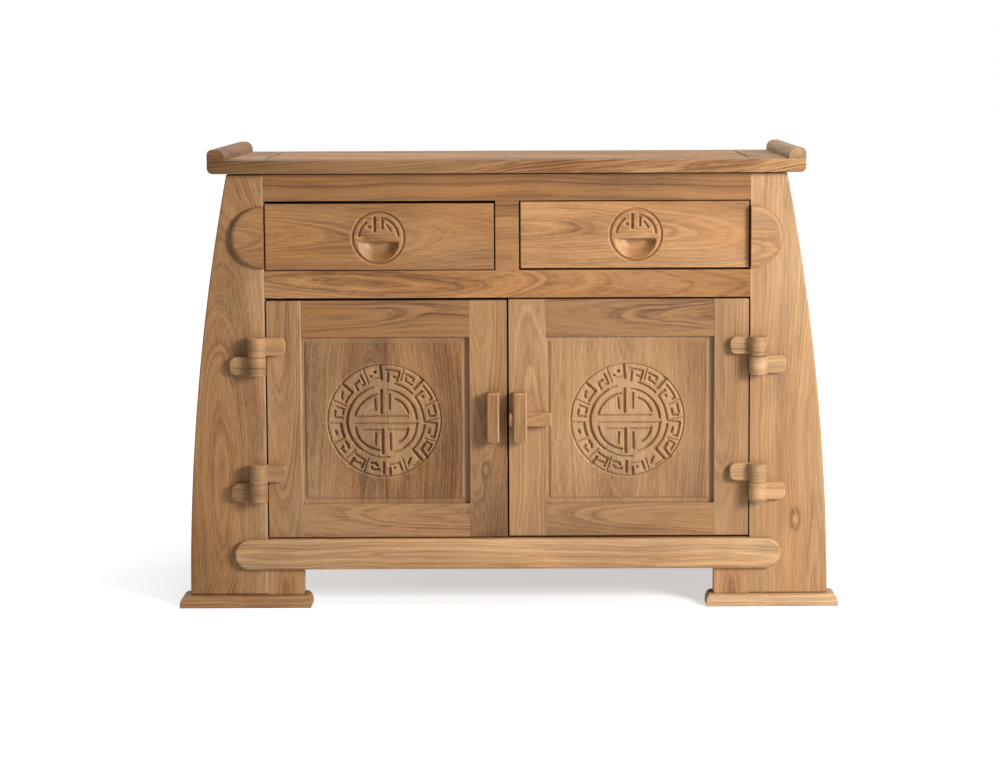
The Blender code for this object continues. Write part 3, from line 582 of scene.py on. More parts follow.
def dress(node, shape, along, seed, cut="flat", label=None, stands_for=True, **extras):
    """Finish a shape or a mesh and let it stand for a node of the frame, or ride along with it."""
    mesh = as_mesh(shape, node) if isinstance(shape, bmesh.types.BMesh) else shape
    name = label or node + "_wood"
    piece = bpy.data.objects.new(name, mesh)
    scene.collection.objects.link(piece)
    tone = TONES.get(name, TONES.get(node, TOP_TONE if name.startswith("top_") else PLAIN))
    add_grain(mesh, along, cut, seed, tone, **extras)
    mesh.materials.clear()
    mesh.materials.append(TEAK[SLOT_OF[node]])
    mesh.shade_smooth()
    mesh.set_sharp_from_angle(angle=SHARP)
    weighted = piece.modifiers.new("flat_faces", "WEIGHTED_NORMAL")
    weighted.keep_sharp = True
    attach(piece, BODY_OF[node])
    if stands_for:
        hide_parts(node)
    made.append(name)
    return piece


print("nodes that ride on a body:", len(BODY_OF))

# %% [markdown]
# ## Planed boards and sawn outlines
# A planed board is a box with its edges eased by a plane. A sawn board is an outline cut from the plank,
# then eased along both faces. Bevels in the mesh make the eased edges, because a shadow line at a joint
# comes from them and not from paint.

# %% Plane and saw
SEAM = 0.00005
EASED = 0.0005
CORNER = radians(35)


def ease(shape, edges, width, segments):
    bmesh.ops.bevel(shape, geom=edges, offset=width, segments=segments, profile=0.5, affect="EDGES")


def planed(x, y, z, eased=EASED, segments=2):
    """A board that fills the spans, with eased edges."""
    sides = [sorted(side) for side in (x, y, z)]
    size = Vector([end - start for start, end in sides])
    centre = Vector([(end + start) / 2 for start, end in sides])
    shape = bmesh.new()
    bmesh.ops.create_cube(shape, size=1.0)
    bmesh.ops.scale(shape, vec=size, verts=shape.verts)
    bmesh.ops.translate(shape, vec=centre, verts=shape.verts)
    ease(shape, list(shape.edges), eased, segments)
    return shape


def arc(centre, radius, start, end, steps):
    turns = [radians(start + (end - start) * step / steps) for step in range(steps + 1)]
    return [(centre[0] + radius * cos(turn), centre[1] + radius * sin(turn)) for turn in turns]


def sawn(outline, y, eased=EASED, segments=2, faces=("front", "rear"), crisp_x=None):
    """A board cut to an outline in the front view, eased at its front and rear edges, but not at crisp_x."""
    front, rear = sorted(y)
    shape = bmesh.new()
    shape.faces.new([shape.verts.new((x, front, z)) for x, z in outline])
    grown = bmesh.ops.extrude_face_region(shape, geom=list(shape.faces))["geom"]
    moved = [part for part in grown if isinstance(part, bmesh.types.BMVert)]
    bmesh.ops.translate(shape, vec=(0, rear - front, 0), verts=moved)
    bmesh.ops.recalc_face_normals(shape, faces=shape.faces)
    levels = [front] * ("front" in faces) + [rear] * ("rear" in faces)
    rims = [edge for edge in shape.edges
            if any(all(abs(vert.co.y - level) < 1e-6 for vert in edge.verts) for level in levels)]
    corners = [edge for edge in shape.edges if edge not in rims and edge.calc_face_angle(0) > CORNER]
    if crisp_x is not None:
        rims = [edge for edge in rims if any(abs(vert.co.x - crisp_x) > 1e-6 for vert in edge.verts)]
        corners = []
    ease(shape, rims + corners, eased, segments)
    return shape


def low(node):
    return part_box(node)[0]


def high(node):
    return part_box(node)[1]


def span(node, axis):
    return low(node)[axis], high(node)[axis]


def spans(node):
    return [span(node, axis) for axis in range(3)]


def from_middle(node):
    """How far the inner and the outer end of a piece are from the middle of the sideboard."""
    return sorted((abs(low(node).x), abs(high(node).x)))


print("tools ready")

# %% [markdown]
# ## The front frame
# Two wide stiles carry everything. Their outer edges follow a curve that leaves the floor upright and leans
# in towards the top, and their inner edges are straight. A straight board could be bent, but an outline
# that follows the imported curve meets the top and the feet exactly. Rails run between the stiles. The packed
# rails have tenons, which stay hidden in the stiles, so the boards here end at the shoulders.

# %% Cut the stiles and rails
opening = -high("front_stile_left").x
stile_top = high("front_stile_left").z
stile_foot = low("front_stile_left").z
base_half = -low("front_stile_left").x
SIDES = {"left": -1, "right": 1}
CURVE_STEPS = 40
TOP_SHADOW = 0.0024
STILE_EASE = 0.0030


def shoulder_half():
    """Half the width over the stiles at their top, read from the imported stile."""
    points = [vert.co for vert in frame["nodes"]["front_stile_left"].data.vertices]
    return max(-point.x for point in points if point.z > stile_top - 0.001)


flare = (base_half - shoulder_half()) / (stile_top ** 2 - stile_foot ** 2)


def outer_edge(z):
    return base_half - flare * (z ** 2 - stile_foot ** 2)


def curved_stile(node, side, **extras):
    top = stile_top - TOP_SHADOW
    heights = [stile_foot + (top - stile_foot) * step / CURVE_STEPS for step in range(CURVE_STEPS + 1)]
    outline = [(side * outer_edge(z), z) for z in heights]
    inner = side * (opening + SEAM)
    outline += [(inner, top), (inner, stile_foot)]
    board = sawn(outline, span(node, 1), STILE_EASE, 3, crisp_x=inner)
    return dress(node, board, "Z", **extras)


curved_stile("front_stile_left", -1, seed=41, knot=(-0.545, 0.262, 0.0012, 0.022),
             sap=(-opening - 0.0030, 1), log=(0.012, 0.050, 0.16), fade=(0, 0.26, 1.6))
curved_stile("front_stile_right", 1, seed=52, knot=(0.566, 0.172, 0.010, 0.022),
             log=(-0.050, 0.045, 0.06), fade=(2, 0.18, 0.3))
curved_stile("back_stile_left", -1, seed=43)
curved_stile("back_stile_right", 1, seed=54)


def rail(node, seed, **extras):
    x = (SEAM - opening, opening - SEAM)
    z = (low(node).z, min(high(node).z, stile_top - TOP_SHADOW))
    return dress(node, planed(x, span(node, 1), z), "X", seed=seed, **extras)


rail("front_top_rail", 61, cut="straight", fade=(0, -0.03, -0.5))
rail("front_middle_rail", 62, fade=(0, -0.43, -0.5))
rail("back_top_rail", 63)
rail("back_bottom_rail", 64)
for side_name in SIDES:
    node = "leg_block_" + side_name
    dress(node, planed(*spans(node)), "Z", seed=66)
print("front frame:", len(made), "boards")

# %% [markdown]
# ## The bottom rail
# The bottom rail stands proud of the stiles and ends in half-rounds. Behind its face a core runs between
# the stiles. Two boards laid on each other would show a seam under the rail, so a boolean unites them into
# one.

# %% Shape the bottom rail
ROUND_STEPS = 24
LEFT_END = 0.0028
RAIL_EASE = 0.0045
CORE_SETBACK = 0.0060
CORE_INSET = 0.0002


def united(*shapes, operation="UNION"):
    """One closed mesh from overlapping solids, or from the first with the others cut out of it."""
    pieces = []
    for shape in shapes:
        piece = bpy.data.objects.new("solid", as_mesh(shape, "solid"))
        scene.collection.objects.link(piece)
        pieces.append(piece)
    for tool in pieces[1:]:
        joint = pieces[0].modifiers.new("joint", "BOOLEAN")
        joint.operation = operation
        joint.object = tool
    bpy.context.view_layer.update()
    evaluated = pieces[0].evaluated_get(bpy.context.evaluated_depsgraph_get())
    mesh = bpy.data.meshes.new_from_object(evaluated)
    for piece in pieces:
        bpy.data.objects.remove(piece)
    return mesh


def bottom_rail():
    node = "front_bottom_rail"
    z = span(node, 2)
    radius = (z[1] - z[0]) / 2
    reach = high(node).x - radius
    middle = (z[0] + z[1]) / 2
    outline = arc((reach, middle), radius, -90, 90, ROUND_STEPS)
    outline += arc((-reach - LEFT_END, middle), radius, 90, 270, ROUND_STEPS)
    bar = sawn(outline, (low(node).y, face_y - SEAM), RAIL_EASE, 4, faces=("front",))
    core = planed((SEAM - opening, opening - SEAM), (low(node).y + CORE_SETBACK, high(node).y),
                  (z[0] + CORE_INSET, z[1] - CORE_INSET))
    return dress(node, united(bar, core), "X", seed=71, log=(0.004, 0.024, 0.0), swell=(-0.013, 0.364, 0.42))


bottom_rail()
print("bottom rail shaped")

# %% [markdown]
# ## The bosses and the feet
# The two bosses beside the drawers look like the ends of a rail that runs behind them. Their edges are
# worked down to a wide, soft rounding. A bevel that wide would fold over itself, so a boss is a stack of
# outlines, each a little smaller than the one behind it. The feet are stacked too: they are blocks with a
# quarter-round moulding on three sides.

# %% Stack the bosses and the feet
BOSS_PROUD = 0.0130
BOSS_SOFT = 0.0105
BOSS_WALL = 0.0040
FOOT_TOE = ((0.0012, 0.0), (0.0003, 0.0004), (0.0, 0.0012))
FOOT_UPRIGHT = 0.0045
FOOT_SETBACK = 0.0115


def stacked(sections):
    """A closed solid through sections that have the same number of points."""
    shape = bmesh.new()
    rings = [[shape.verts.new(point) for point in section] for section in sections]
    count = len(rings[0])
    for below, above in zip(rings, rings[1:]):
        for start in range(count):
            end = (start + 1) % count
            shape.faces.new((below[start], below[end], above[end], above[start]))
    shape.faces.new(rings[0][::-1])
    shape.faces.new(rings[-1])
    return shape


def boss(side_name, side):
    """A half-round end whose edge is worked down to a soft, wide rounding."""
    node = "boss_" + side_name
    inner, outer = from_middle(node)
    bottom, top = span(node, 2)
    middle, radius = (bottom + top) / 2, (top - bottom) / 2
    rise = BOSS_PROUD - BOSS_WALL
    levels = [(0.0, high(node).y)] + [(BOSS_SOFT * (1 - cos(turn)), face_y - BOSS_WALL - rise * sin(turn))
                                      for turn in np.linspace(0, pi / 2, 10)]
    sections = []
    for inset, y in levels:
        rounded = arc((outer - radius, middle), radius - inset, -90, 90, ROUND_STEPS)
        edge = [(inner, bottom + inset)] + rounded + [(inner, top - inset)]
        sections.append([(side * x, y, z) for x, z in edge])
    return dress(node, stacked(sections), "X", seed=81 if side < 0 else 82)


def foot(node, facing):
    """Stacked sections: a low upright edge and a quarter-round that sets back on three sides."""
    (x0, y0, z0), (x1, y1, z1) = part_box(node)
    profile = [(inset, z0 + height) for inset, height in FOOT_TOE] + [(0.0, z0 + FOOT_UPRIGHT)]
    profile += [(FOOT_SETBACK * (1 - cos(turn)), z0 + FOOT_UPRIGHT + (z1 - z0 - FOOT_UPRIGHT) * sin(turn))
                for turn in np.linspace(0, pi / 2, 11)[1:]]
    sections = []
    for inset, z in profile:
        near, far = (y0 + inset, y1) if facing < 0 else (y0, y1 - inset)
        corners = ((x0 + inset, near), (x1 - inset, near), (x1 - inset, far), (x0 + inset, far))
        sections.append([(x, y, z) for x, y in corners])
    return dress(node, stacked(sections), "X", seed=90)


for side_name, side in SIDES.items():
    boss(side_name, side)
    foot("foot_front_" + side_name, -1)
    foot("foot_back_" + side_name, 1)
print("proud pieces done,", len(made), "pieces so far")

# %% [markdown]
# ## The top
# The top is glued up: a strip along the front and the back, planks between them, and a short cross board
# let in at each end. A scroll bar closes each end, rounded more on its inner side. One slab would do for
# the shape. The planks are separate pieces, so that each has its own figure and the glue lines show.

# %% Glue up the top
FIELD_PLANKS = 4
PLANK_EASE = 0.0005
STRIP_EASE = 0.0012
UNDER_ROUND = 0.011
OPEN_SEAM = {"left": 0.0030, "right": 0.0045}
TONGUE_DROP = 0.009
SCROLL_SUNK = 0.0015
SCROLL_OUTSIDE = 0.010
SCROLL_INSIDE = 0.016


def top_boards():
    node = "top_panel"
    (x0, front, under), (x1, rear, surface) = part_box(node)
    pocket_front, pocket_rear = span("top_end_left", 1)
    strip_front, strip_rear = pocket_front - SEAM, pocket_rear + SEAM
    seam = low("top_end_right").x - SEAM
    lower_right = arc((x1 - UNDER_ROUND, under + UNDER_ROUND), UNDER_ROUND, -90, 0, 8)
    outline = lower_right + [(x1, surface), (x0, surface)]
    outline += arc((x0 + UNDER_ROUND, under + UNDER_ROUND), UNDER_ROUND, 180, 270, 8)
    strip = sawn(outline, (front, strip_front), STRIP_EASE)
    dress(node, strip, "X", seed=101, label="top_front_strip", fade=(0, 0.90, 0.8))
    strip = sawn(outline, (strip_rear, rear), STRIP_EASE)
    dress(node, strip, "X", seed=102, label="top_back_strip", stands_for=False)
    edges = np.linspace(strip_front, strip_rear, FIELD_PLANKS + 1)
    for number in range(FIELD_PLANKS):
        plank = planed((-seam, seam), (edges[number], edges[number + 1]), (under, surface), PLANK_EASE)
        label = "top_plank_%d" % (number + 1)
        dress(node, plank, "X", seed=104 + number, label=label, stands_for=False)
    for side_name, side in SIDES.items():
        shoulder = seam + OPEN_SEAM[side_name]
        end = [(seam + SEAM, under)] + lower_right + [(x1, surface)]
        end += [(shoulder, surface), (shoulder, surface - TONGUE_DROP), (seam + SEAM, surface - TONGUE_DROP)]
        end = [(side * x, z) for x, z in end]
        node = "top_end_" + side_name
        dress(node, sawn(end, span(node, 1), PLANK_EASE), "Y", seed=110)


def scroll(side_name, side):
    node = "top_scroll_" + side_name
    inner, outer = from_middle(node)
    base, crest = span(node, 2)
    base -= SCROLL_SUNK
    edge = [(outer, base)] + arc((outer - SCROLL_OUTSIDE, crest - SCROLL_OUTSIDE), SCROLL_OUTSIDE, 0, 90, 8)
    edge += arc((inner + SCROLL_INSIDE, crest - SCROLL_INSIDE), SCROLL_INSIDE, 90, 180, 12) + [(inner, base)]
    outline = [(side * x, z) for x, z in edge]
    return dress(node, sawn(outline, span(node, 1), STRIP_EASE, 3), "Y", seed=120)


top_boards()
for side_name, side in SIDES.items():
    scroll(side_name, side)
print("top glued,", len(made), "pieces so far")

# %% [markdown]
# ## Sides, back and drawer post
# The sides are boards bent to the same curve as the stiles, set in a little. The back panel sits in a
# groove. The post between the drawers carries a partition that runs to the back. The photograph shows
# little more than the front of the post, so plain sawn and planed boards are enough.

# %% Close the carcass
IN_GROOVE = 0.001
PARTITION = {"half": 0.010, "overlap": 0.010, "under_rail": 0.0004}


def curved_side(node, side):
    z0, z1 = span(node, 2)
    points = [vert.co for vert in frame["nodes"][node].data.vertices]
    at_top = [abs(point.x) for point in points if point.z > z1 - 0.001]
    thickness = max(at_top) - min(at_top)
    inset = outer_edge(z1) - max(at_top)
    heights = [z0 + (z1 - z0) * step / CURVE_STEPS for step in range(CURVE_STEPS + 1)]
    outline = [(side * (outer_edge(z) - inset), z) for z in heights]
    outline += [(side * (outer_edge(z) - inset - thickness), z) for z in heights[::-1]]
    y = (high("front_stile_left").y - IN_GROOVE, low("back_stile_left").y + IN_GROOVE)
    return dress(node, sawn(outline, y), "Z", seed=130)


def back_panel():
    node = "back_panel"
    x = (-opening - IN_GROOVE, opening + IN_GROOVE)
    z = (high("back_bottom_rail").z - IN_GROOVE, low("back_top_rail").z + IN_GROOVE)
    return dress(node, planed(x, span(node, 1), z), "X", seed=140)


def drawer_post():
    node = "drawer_divider"
    z = (high("front_middle_rail").z + SEAM, low("front_top_rail").z - SEAM)
    frame_rear = high("front_stile_left").y
    post = planed(span(node, 0), (low(node).y, frame_rear), z)
    half = PARTITION["half"]
    partition = planed((-half, half), (frame_rear - PARTITION["overlap"], high(node).y),
                       (low(node).z, z[1] - PARTITION["under_rail"]))
    return dress(node, united(post, partition), "X", seed=150)


for side_name, side in SIDES.items():
    curved_side("side_panel_" + side_name, side)
back_panel()
drawer_post()
print("carcass closed,", len(made), "pieces so far")

# %% [markdown]
# ## Carving
# The drawers and the door panels are carved with round medallions. A carver works with a V-shaped tool, so
# each line is a groove with soft shoulders. The lines are listed as strokes, and a fine grid on the face is
# pushed in by how close each of its points is to a stroke. This gives real depth that catches the light,
# which a bump in the material would not.

# %% Carve strokes into a face
# The bottom of each groove is darkened for old oil and for painted shade, and its shoulders are made pale for
# rubbing and for a painted highlight.
RUBBED_AND_LIT_EDGE = 0.0018
RUBBED_AND_LIT_REACH = 0.35
OIL_AND_SHADE = 0.80
OIL_AND_SHADE_FROM = 0.6
GROOVE_STEEP = 1.45
SHALLOW = 0.0002


def circle(radius, start=0.0, end=360.0, step=4.0):
    count = max(2, int(abs(end - start) / step) + 1)
    turns = np.radians(np.linspace(start, end, count))
    return np.stack([radius * np.cos(turns), radius * np.sin(turns)], 1)


def stroke_distance(points, stroke):
    """Distance from each point to the nearest place on a stroke."""
    nearest = np.full(len(points), 1.0)
    for start, end in zip(stroke[:-1], stroke[1:]):
        along = end - start
        share = np.clip(((points - start) @ along) / max(along @ along, 1e-12), 0, 1)
        gap = points - start - share[:, None] * along
        nearest = np.minimum(nearest, np.hypot(gap[:, 0], gap[:, 1]))
    return nearest


def groove_depth(points, strokes):
    """How deep the carving is at each point. A stroke is its line, half its width and its depth."""
    depth = np.zeros(len(points))
    for line, half_width, deep in strokes:
        line = np.asarray(line, float)
        reach = half_width * 1.01
        inside = np.all((points > line.min(0) - reach) & (points < line.max(0) + reach), 1)
        share = np.clip(GROOVE_STEEP * (1 - stroke_distance(points[inside], line) / half_width), 0, 1)
        depth[inside] = np.maximum(depth[inside], deep * share * share * (3 - 2 * share))
    return depth


def groove_wear(points, strokes, deep):
    """Darker at the bottom of a groove (above zero), old oil and painted shade; paler on its shoulders (below
    zero), rubbing and a painted highlight.
    """
    depth = groove_depth(points, strokes)
    wider = groove_depth(points, [(line, half + RUBBED_AND_LIT_EDGE, cut) for line, half, cut in strokes])
    rubbed_and_lit = np.clip(wider / (RUBBED_AND_LIT_REACH * deep), 0, 1) * (depth <= SHALLOW)
    return np.clip((depth / deep - OIL_AND_SHADE_FROM) / (1 - OIL_AND_SHADE_FROM), 0, 1) * OIL_AND_SHADE - rubbed_and_lit


print("strokes can be carved")

# %% [markdown]
# A carved board is a grid of points on its face, with sides and a back. A grid that is fine all over would
# be heavy, so its lines are close together only where the board is carved. The back is cut in strips, one
# for each column, because a single large face across a glue line would tear the figure apart.

# %% Build a carved board
CARVING_GRID = 0.0009
COARSE_GRID = 0.012


def grid_lines(start, end, fine):
    """Lines across a face, close together inside the fine spans and wide apart elsewhere."""
    lines = [start]
    while lines[-1] < end - 1e-6:
        place = lines[-1]
        close = any(begin - COARSE_GRID <= place <= stop for begin, stop in fine)
        lines.append(min(place + (CARVING_GRID if close else COARSE_GRID), end))
    return np.array(lines)


def carved_board(x_lines, z_lines, face, rear, push, eased):
    """A board with a carved face, and which of its points lie on that face. Push gives their depth."""
    columns, rows = len(x_lines), len(z_lines)
    x, z = np.meshgrid(x_lines, z_lines)
    flat = np.stack([x.ravel(), z.ravel()], 1)
    depth = push(flat)
    border = np.minimum.reduce([flat[:, 0] - x_lines[0], x_lines[-1] - flat[:, 0], flat[:, 1] - z_lines[0],
                                z_lines[-1] - flat[:, 1]])
    rounding = np.clip(eased - border, 0, eased)
    depth = depth + eased - np.sqrt(np.maximum(eased ** 2 - rounding ** 2, 0))
    points = np.stack([flat[:, 0], face + depth, flat[:, 1]], 1)
    index = np.arange(columns * rows).reshape(rows, columns)
    faces = np.stack([index[:-1, :-1], index[:-1, 1:], index[1:, 1:], index[1:, :-1]], -1).reshape(-1, 4)
    rim = np.concatenate([index[0, :-1], index[:-1, -1], index[-1, :0:-1], index[:0:-1, 0]])
    backs = points[rim].copy()
    backs[:, 1] = rear
    count = len(points)
    following = np.roll(np.arange(len(rim)), -1)
    sides = [(rim[i], count + i, count + j, rim[j]) for i, j in enumerate(following)]
    polygons = faces.tolist() + [[int(corner) for corner in side] for side in sides]
    top_left = 2 * (columns - 1) + rows - 1
    strips = [[i, i + 1, top_left - i - 1, top_left - i] for i in range(columns - 1)]
    strips[0] += range(top_left + 1, len(rim))
    strips[-1][1:3] = range(columns - 1, columns - 1 + rows)
    polygons += [[count + corner for corner in strip] for strip in strips]
    mesh = bpy.data.meshes.new("carved")
    mesh.from_pydata(np.concatenate([points, backs]).tolist(), [], polygons)
    shape = bmesh.new()
    shape.from_mesh(mesh)
    bmesh.ops.recalc_face_normals(shape, faces=shape.faces)
    shape.to_mesh(mesh)
    shape.free()
    return mesh, np.arange(count + len(backs)) < count


def front_view(mesh):
    return np.array([vert.co for vert in mesh.vertices])[:, [0, 2]]


print("carving tools ready, with a grid of", CARVING_GRID, "m")

# %% [markdown]
# ## The drawer fronts
# Each drawer front has a ring with a half-moon scooped out below its middle, which takes the finger tips.
# Above it stands a small traditional sign: two arcs, two upright strokes, two short marks and a thin level
# line. The scoop could be cut with a boolean. It is pushed in with the same grid as the lines instead, so
# that the front stays one even mesh.

# %% Carve the drawers
RING_LINE = 0.0033
PULL_RING = 0.0502
PULL_DEEP = 0.0036
PULL_ASIDE = 0.002
AROUND_CARVING = 0.004
DRAWER_EASE = 0.0016
EASE_LINE = 0.0006
SCOOP_SIDE = 0.58
SCOOP_WALL = 0.03
# The left flank of the scoop, which faces the light, is painted pale as a highlight, and made smoother where
# fingers polish it.
POLISH_AND_HIGHLIGHT = {"share": 0.9, "from": -0.010, "fade": 0.012}
PULL_DROP = {"left": 0.0036, "right": -0.0010}
SETTLED = {"left": (-0.0014, -0.0022), "right": (0.0010, 0.0008)}


def pull_strokes():
    thin, deep = 0.0033, 0.0040
    return [
        (circle(PULL_RING), RING_LINE, 0.0034),
        (circle(0.038, 128, 174), thin, deep),
        (circle(0.039, 6, 80), thin, deep),
        ([(-0.0072, 0.039), (-0.0072, 0.0135)], 0.0038, 0.0050),
        ([(0.0078, 0.034), (0.0078, 0.018)], 0.0032, 0.0040),
        ([(-0.0190, 0.0212), (-0.0168, 0.0208)], 0.0042, 0.0040),
        ([(0.0160, 0.0255), (0.0238, 0.0140)], 0.0031, 0.0036),
        ([(-0.0363, 0.0050), (0.0297, 0.0050)], 0.0019, 0.0016),
    ]


def half_moon(points, half_width=0.0405, height=0.0400, drop=0.0076, deep=0.0180):
    """The scoop for the fingers: half a bowl with steep sides, a flatter bottom and an upright top wall."""
    x, z = points[:, 0] / half_width, (points[:, 1] + drop) / height
    inward = np.clip((1 - np.hypot(x, z)) / SCOOP_SIDE, 0, 1)
    return deep * np.sin(inward * pi / 2) * np.clip(-z / SCOOP_WALL, 0, 1)


def drawer_lines(start, end, middle):
    """Grid lines for a drawer front, with extra ones where its edges are eased."""
    reach = PULL_RING + AROUND_CARVING
    eased = [start + EASE_LINE, start + DRAWER_EASE, end - DRAWER_EASE, end - EASE_LINE]
    return np.unique(np.concatenate([grid_lines(start, end, [(middle - reach, middle + reach)]), eased]))


def drawer_front(side_name, side, seed, **extras):
    node = side_name + "_drawer_front"
    (x0, y0, z0), (x1, y1, z1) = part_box(node)
    middle = np.array([(x0 + x1) / 2 + side * PULL_ASIDE, (z0 + z1) / 2 - PULL_DROP[side_name]])
    z0, z1 = z0 + SETTLED[side_name][0], z1 + SETTLED[side_name][1]
    x_lines = drawer_lines(x0, x1, middle[0])
    z_lines = drawer_lines(z0, z1, middle[1])

    def push(points):
        local = points - middle
        return np.maximum(groove_depth(local, pull_strokes()), half_moon(local))

    mesh, carved = carved_board(x_lines, z_lines, y0, y1, push, DRAWER_EASE)
    flat = front_view(mesh) - middle
    polish_and_highlight = POLISH_AND_HIGHLIGHT["share"] * np.clip((POLISH_AND_HIGHLIGHT["from"] - flat[:, 0]) / POLISH_AND_HIGHLIGHT["fade"], 0, 1)
    wear = np.where(half_moon(flat) > SHALLOW, -polish_and_highlight, groove_wear(flat, pull_strokes(), PULL_DEEP))
    return dress(node, mesh, "X", seed=seed, wear=wear * carved, **extras)


drawer_front("left", -1, 201, fade=(0, -0.22, -0.8))
drawer_front("right", 1, 203, fade=(0, -0.20, 0.0))
print("drawers carved")

# %% [markdown]
# ## The doors
# A door is a frame of two stiles and two rails around a raised panel. The panel's medallion has a band of
# key fret, a traditional border of hooked lines, around a circle with bars. It was cut by hand and no two
# hooks match, so a stretch that repeats round the circle would look too regular. Each stroke is written
# down by itself instead, with its corners in degrees and millimetres from the centre, and sorted by the
# weight of the cut. The bars are straight, so their ends are in millimetres to the right and up.

# %% Write down the strokes
MEDALLION = 0.1112
CUTS = {"bold": (0.0039, 0.0052), "firm": (0.0032, 0.0043), "fine": (0.0024, 0.0030)}
CENTRE_ARCS = {
    "bold": [[(156, 72.0), (180, 73.4), (212, 73.8)], [(30, 62.6), (3, 63.4)]],
    "firm": [[(122, 70.2), (156, 72.0)], [(212, 73.8), (232, 73.6)], [(74, 61.0), (30, 62.6)],
             [(63, 47.4), (46, 49.2), (19, 49.4)], [(171, 58.3), (150, 57.2), (135, 55.2), (112, 54.2)],
             [(-101, 60.0), (-133, 61.6), (-150, 60.6), (-166, 58.7)],
             [(-5.3, 63.8), (-33, 66.2), (-56, 66.2)], [(-20, 49.2), (-35, 51.8), (-57, 52.0)]],
    "fine": [[(122, 70.2), (108, 69.6)], [(232, 73.6), (277, 73.4)], [(84, 60.8), (74, 61.0)],
             [(112, 54.2), (104, 54.0)], [(-56, 66.2), (-74, 66.0)]],
}
CENTRE_BARS = {
    "bold": [[(-5.7, 60.1), (-5.7, 15.0)], [(-4.1, -18.6), (-3.6, -65.4)]],
    "firm": [[(10.7, 52.2), (10.7, 23.0)], [(-18.4, 42.2), (-16.6, 21.5)],
             [(-16.9, -26.4), (-17.4, -47.6)], [(11.4, -26.4), (11.8, -57.4)]],
    "fine": [[(-56.0, 8.2), (46.0, 8.4)], [(-59.1, -6.0), (66.0, -6.2)], [(-41.2, -18.2), (-10.4, -18.6)],
             [(5.3, -18.2), (46.2, -18.2)]],
}
FRET = {
    "bold": [[(94, 108.5), (93.6, 83.0)], [(138.3, 109.3), (138.3, 84.5)], [(46.7, 110.5), (46.5, 85.5)],
             [(-31.3, 91.6), (-38.7, 91.6), (-41.4, 111.5)], [(-47.4, 107.0), (-46.7, 80.0)],
             [(-91.3, 105.0), (-91.3, 83.8)], [(-84.3, 110.4), (-84, 96.0)],
             [(-129, 111.5), (-129, 96.5)], [(-142.7, 89.4), (-145, 87.2), (-151.3, 87.2)],
             [(-158, 86.0), (-175.3, 86.0)], [(101.2, 97.6), (100.2, 97.6)],
             [(-164.6, 98.0), (-167.4, 98.4)]],
    "firm": [[(176, 83.0), (176, 98.0), (168.5, 98.4)], [(171.5, 83.0), (164.3, 83.0), (163.8, 98.0)],
             [(154.7, 84.2), (138.6, 84.2)], [(152, 93.5), (150.5, 96.0), (145.3, 99.3)],
             [(130.4, 79.6), (128.7, 92.7), (122, 92.7)], [(121.4, 82.0), (117.4, 81.8), (117.3, 100.4)],
             [(106.9, 91.6), (106.4, 91.6)], [(88, 100.6), (72.3, 100.6), (72.2, 82.0)],
             [(84.8, 94.5), (84.8, 77.4)], [(78.5, 89.0), (75.6, 88.6)], [(74, 75.8), (44.8, 76.2)],
             [(65.5, 100.6), (54.7, 100.8), (54.4, 96.0)], [(62.9, 94.5), (61.6, 88.5), (53, 88.5)],
             [(50, 110.3), (46.7, 110.5)], [(41.5, 102.4), (24.8, 102.4), (24.5, 97.0)],
             [(33, 88.7), (31, 88.7)],
             [(38, 93.8), (38, 76.2), (10, 76.6), (-2, 78.5), (-3.3, 103.0), (-19.3, 102.7), (-19.5, 96.0)],
             [(17.3, 101.2), (8, 101.4)], [(13.3, 88.7), (5.4, 88.7), (5, 99.0)],
             [(-10.7, 90.4), (-16.7, 90.2)], [(-7.3, 79.0), (-46.6, 79.4)],
             [(-27.7, 91.6), (-27.7, 104.4), (-35.3, 104.6)], [(-56, 90.6), (-58, 92.4), (-62, 98.0)],
             [(-71.3, 104.6), (-71.3, 88.4)], [(-78.4, 96.0), (-79, 96.0)],
             [(-96.7, 98.2), (-104, 100.2), (-106.3, 96.2)],
             [(-99.3, 91.6), (-101.3, 87.5), (-108, 88.2)],
             [(-116.3, 104.5), (-116.3, 87.6), (-130.6, 87.6)], [(-119.3, 98.2), (-125.3, 100.2)],
             [(-141.3, 100.4), (-146.7, 102.4), (-148, 97.0)]],
    "fine": [[(69.2, 110.0), (67.8, 86.0)], [(21.6, 111.5), (19.5, 85.0)], [(0.2, 86.0), (2.1, 111.5)],
             [(-24.8, 86.3), (-22.7, 111.0)], [(-50.5, 105.8), (-59, 106.0)],
             [(-65.2, 85.0), (-67, 109.5)], [(-73.5, 88.2), (-84.5, 88.4)],
             [(-113.3, 82.4), (-112, 110.0)], [(-134.5, 82.7), (-135.5, 107.0)],
             [(-156, 86.0), (-156, 108.0)], [(-177.8, 111.5), (-176, 86.3)],
             [(158.5, 107.0), (159, 81.0)], [(111.8, 109.5), (112.8, 80.0)], [(106, 86.0), (95, 85.5)]],
}


def round_line(corners):
    """A line that follows the circle, from corners given in degrees and millimetres from the centre."""
    line = []
    for (angle, radius), (next_angle, next_radius) in zip(corners[:-1], corners[1:]):
        steps = max(1, int(abs(next_angle - angle) / 3))
        for step in range(steps):
            share = step / steps
            line.append((angle + (next_angle - angle) * share, radius + (next_radius - radius) * share))
    line.append(corners[-1])
    return np.array([(radius * cos(radians(angle)), radius * sin(radians(angle)))
                     for angle, radius in line]) / 1000


def medallion_strokes():
    half, deep = CUTS["fine"]
    strokes = [(circle(MEDALLION), half, deep)]
    for lines in (CENTRE_ARCS, FRET):
        for weight, group in lines.items():
            strokes += [(round_line(corners), *CUTS[weight]) for corners in group]
    for weight, group in CENTRE_BARS.items():
        strokes += [(np.array(ends) / 1000, *CUTS[weight]) for ends in group]
    return strokes


print("strokes on a door:", len(medallion_strokes()))
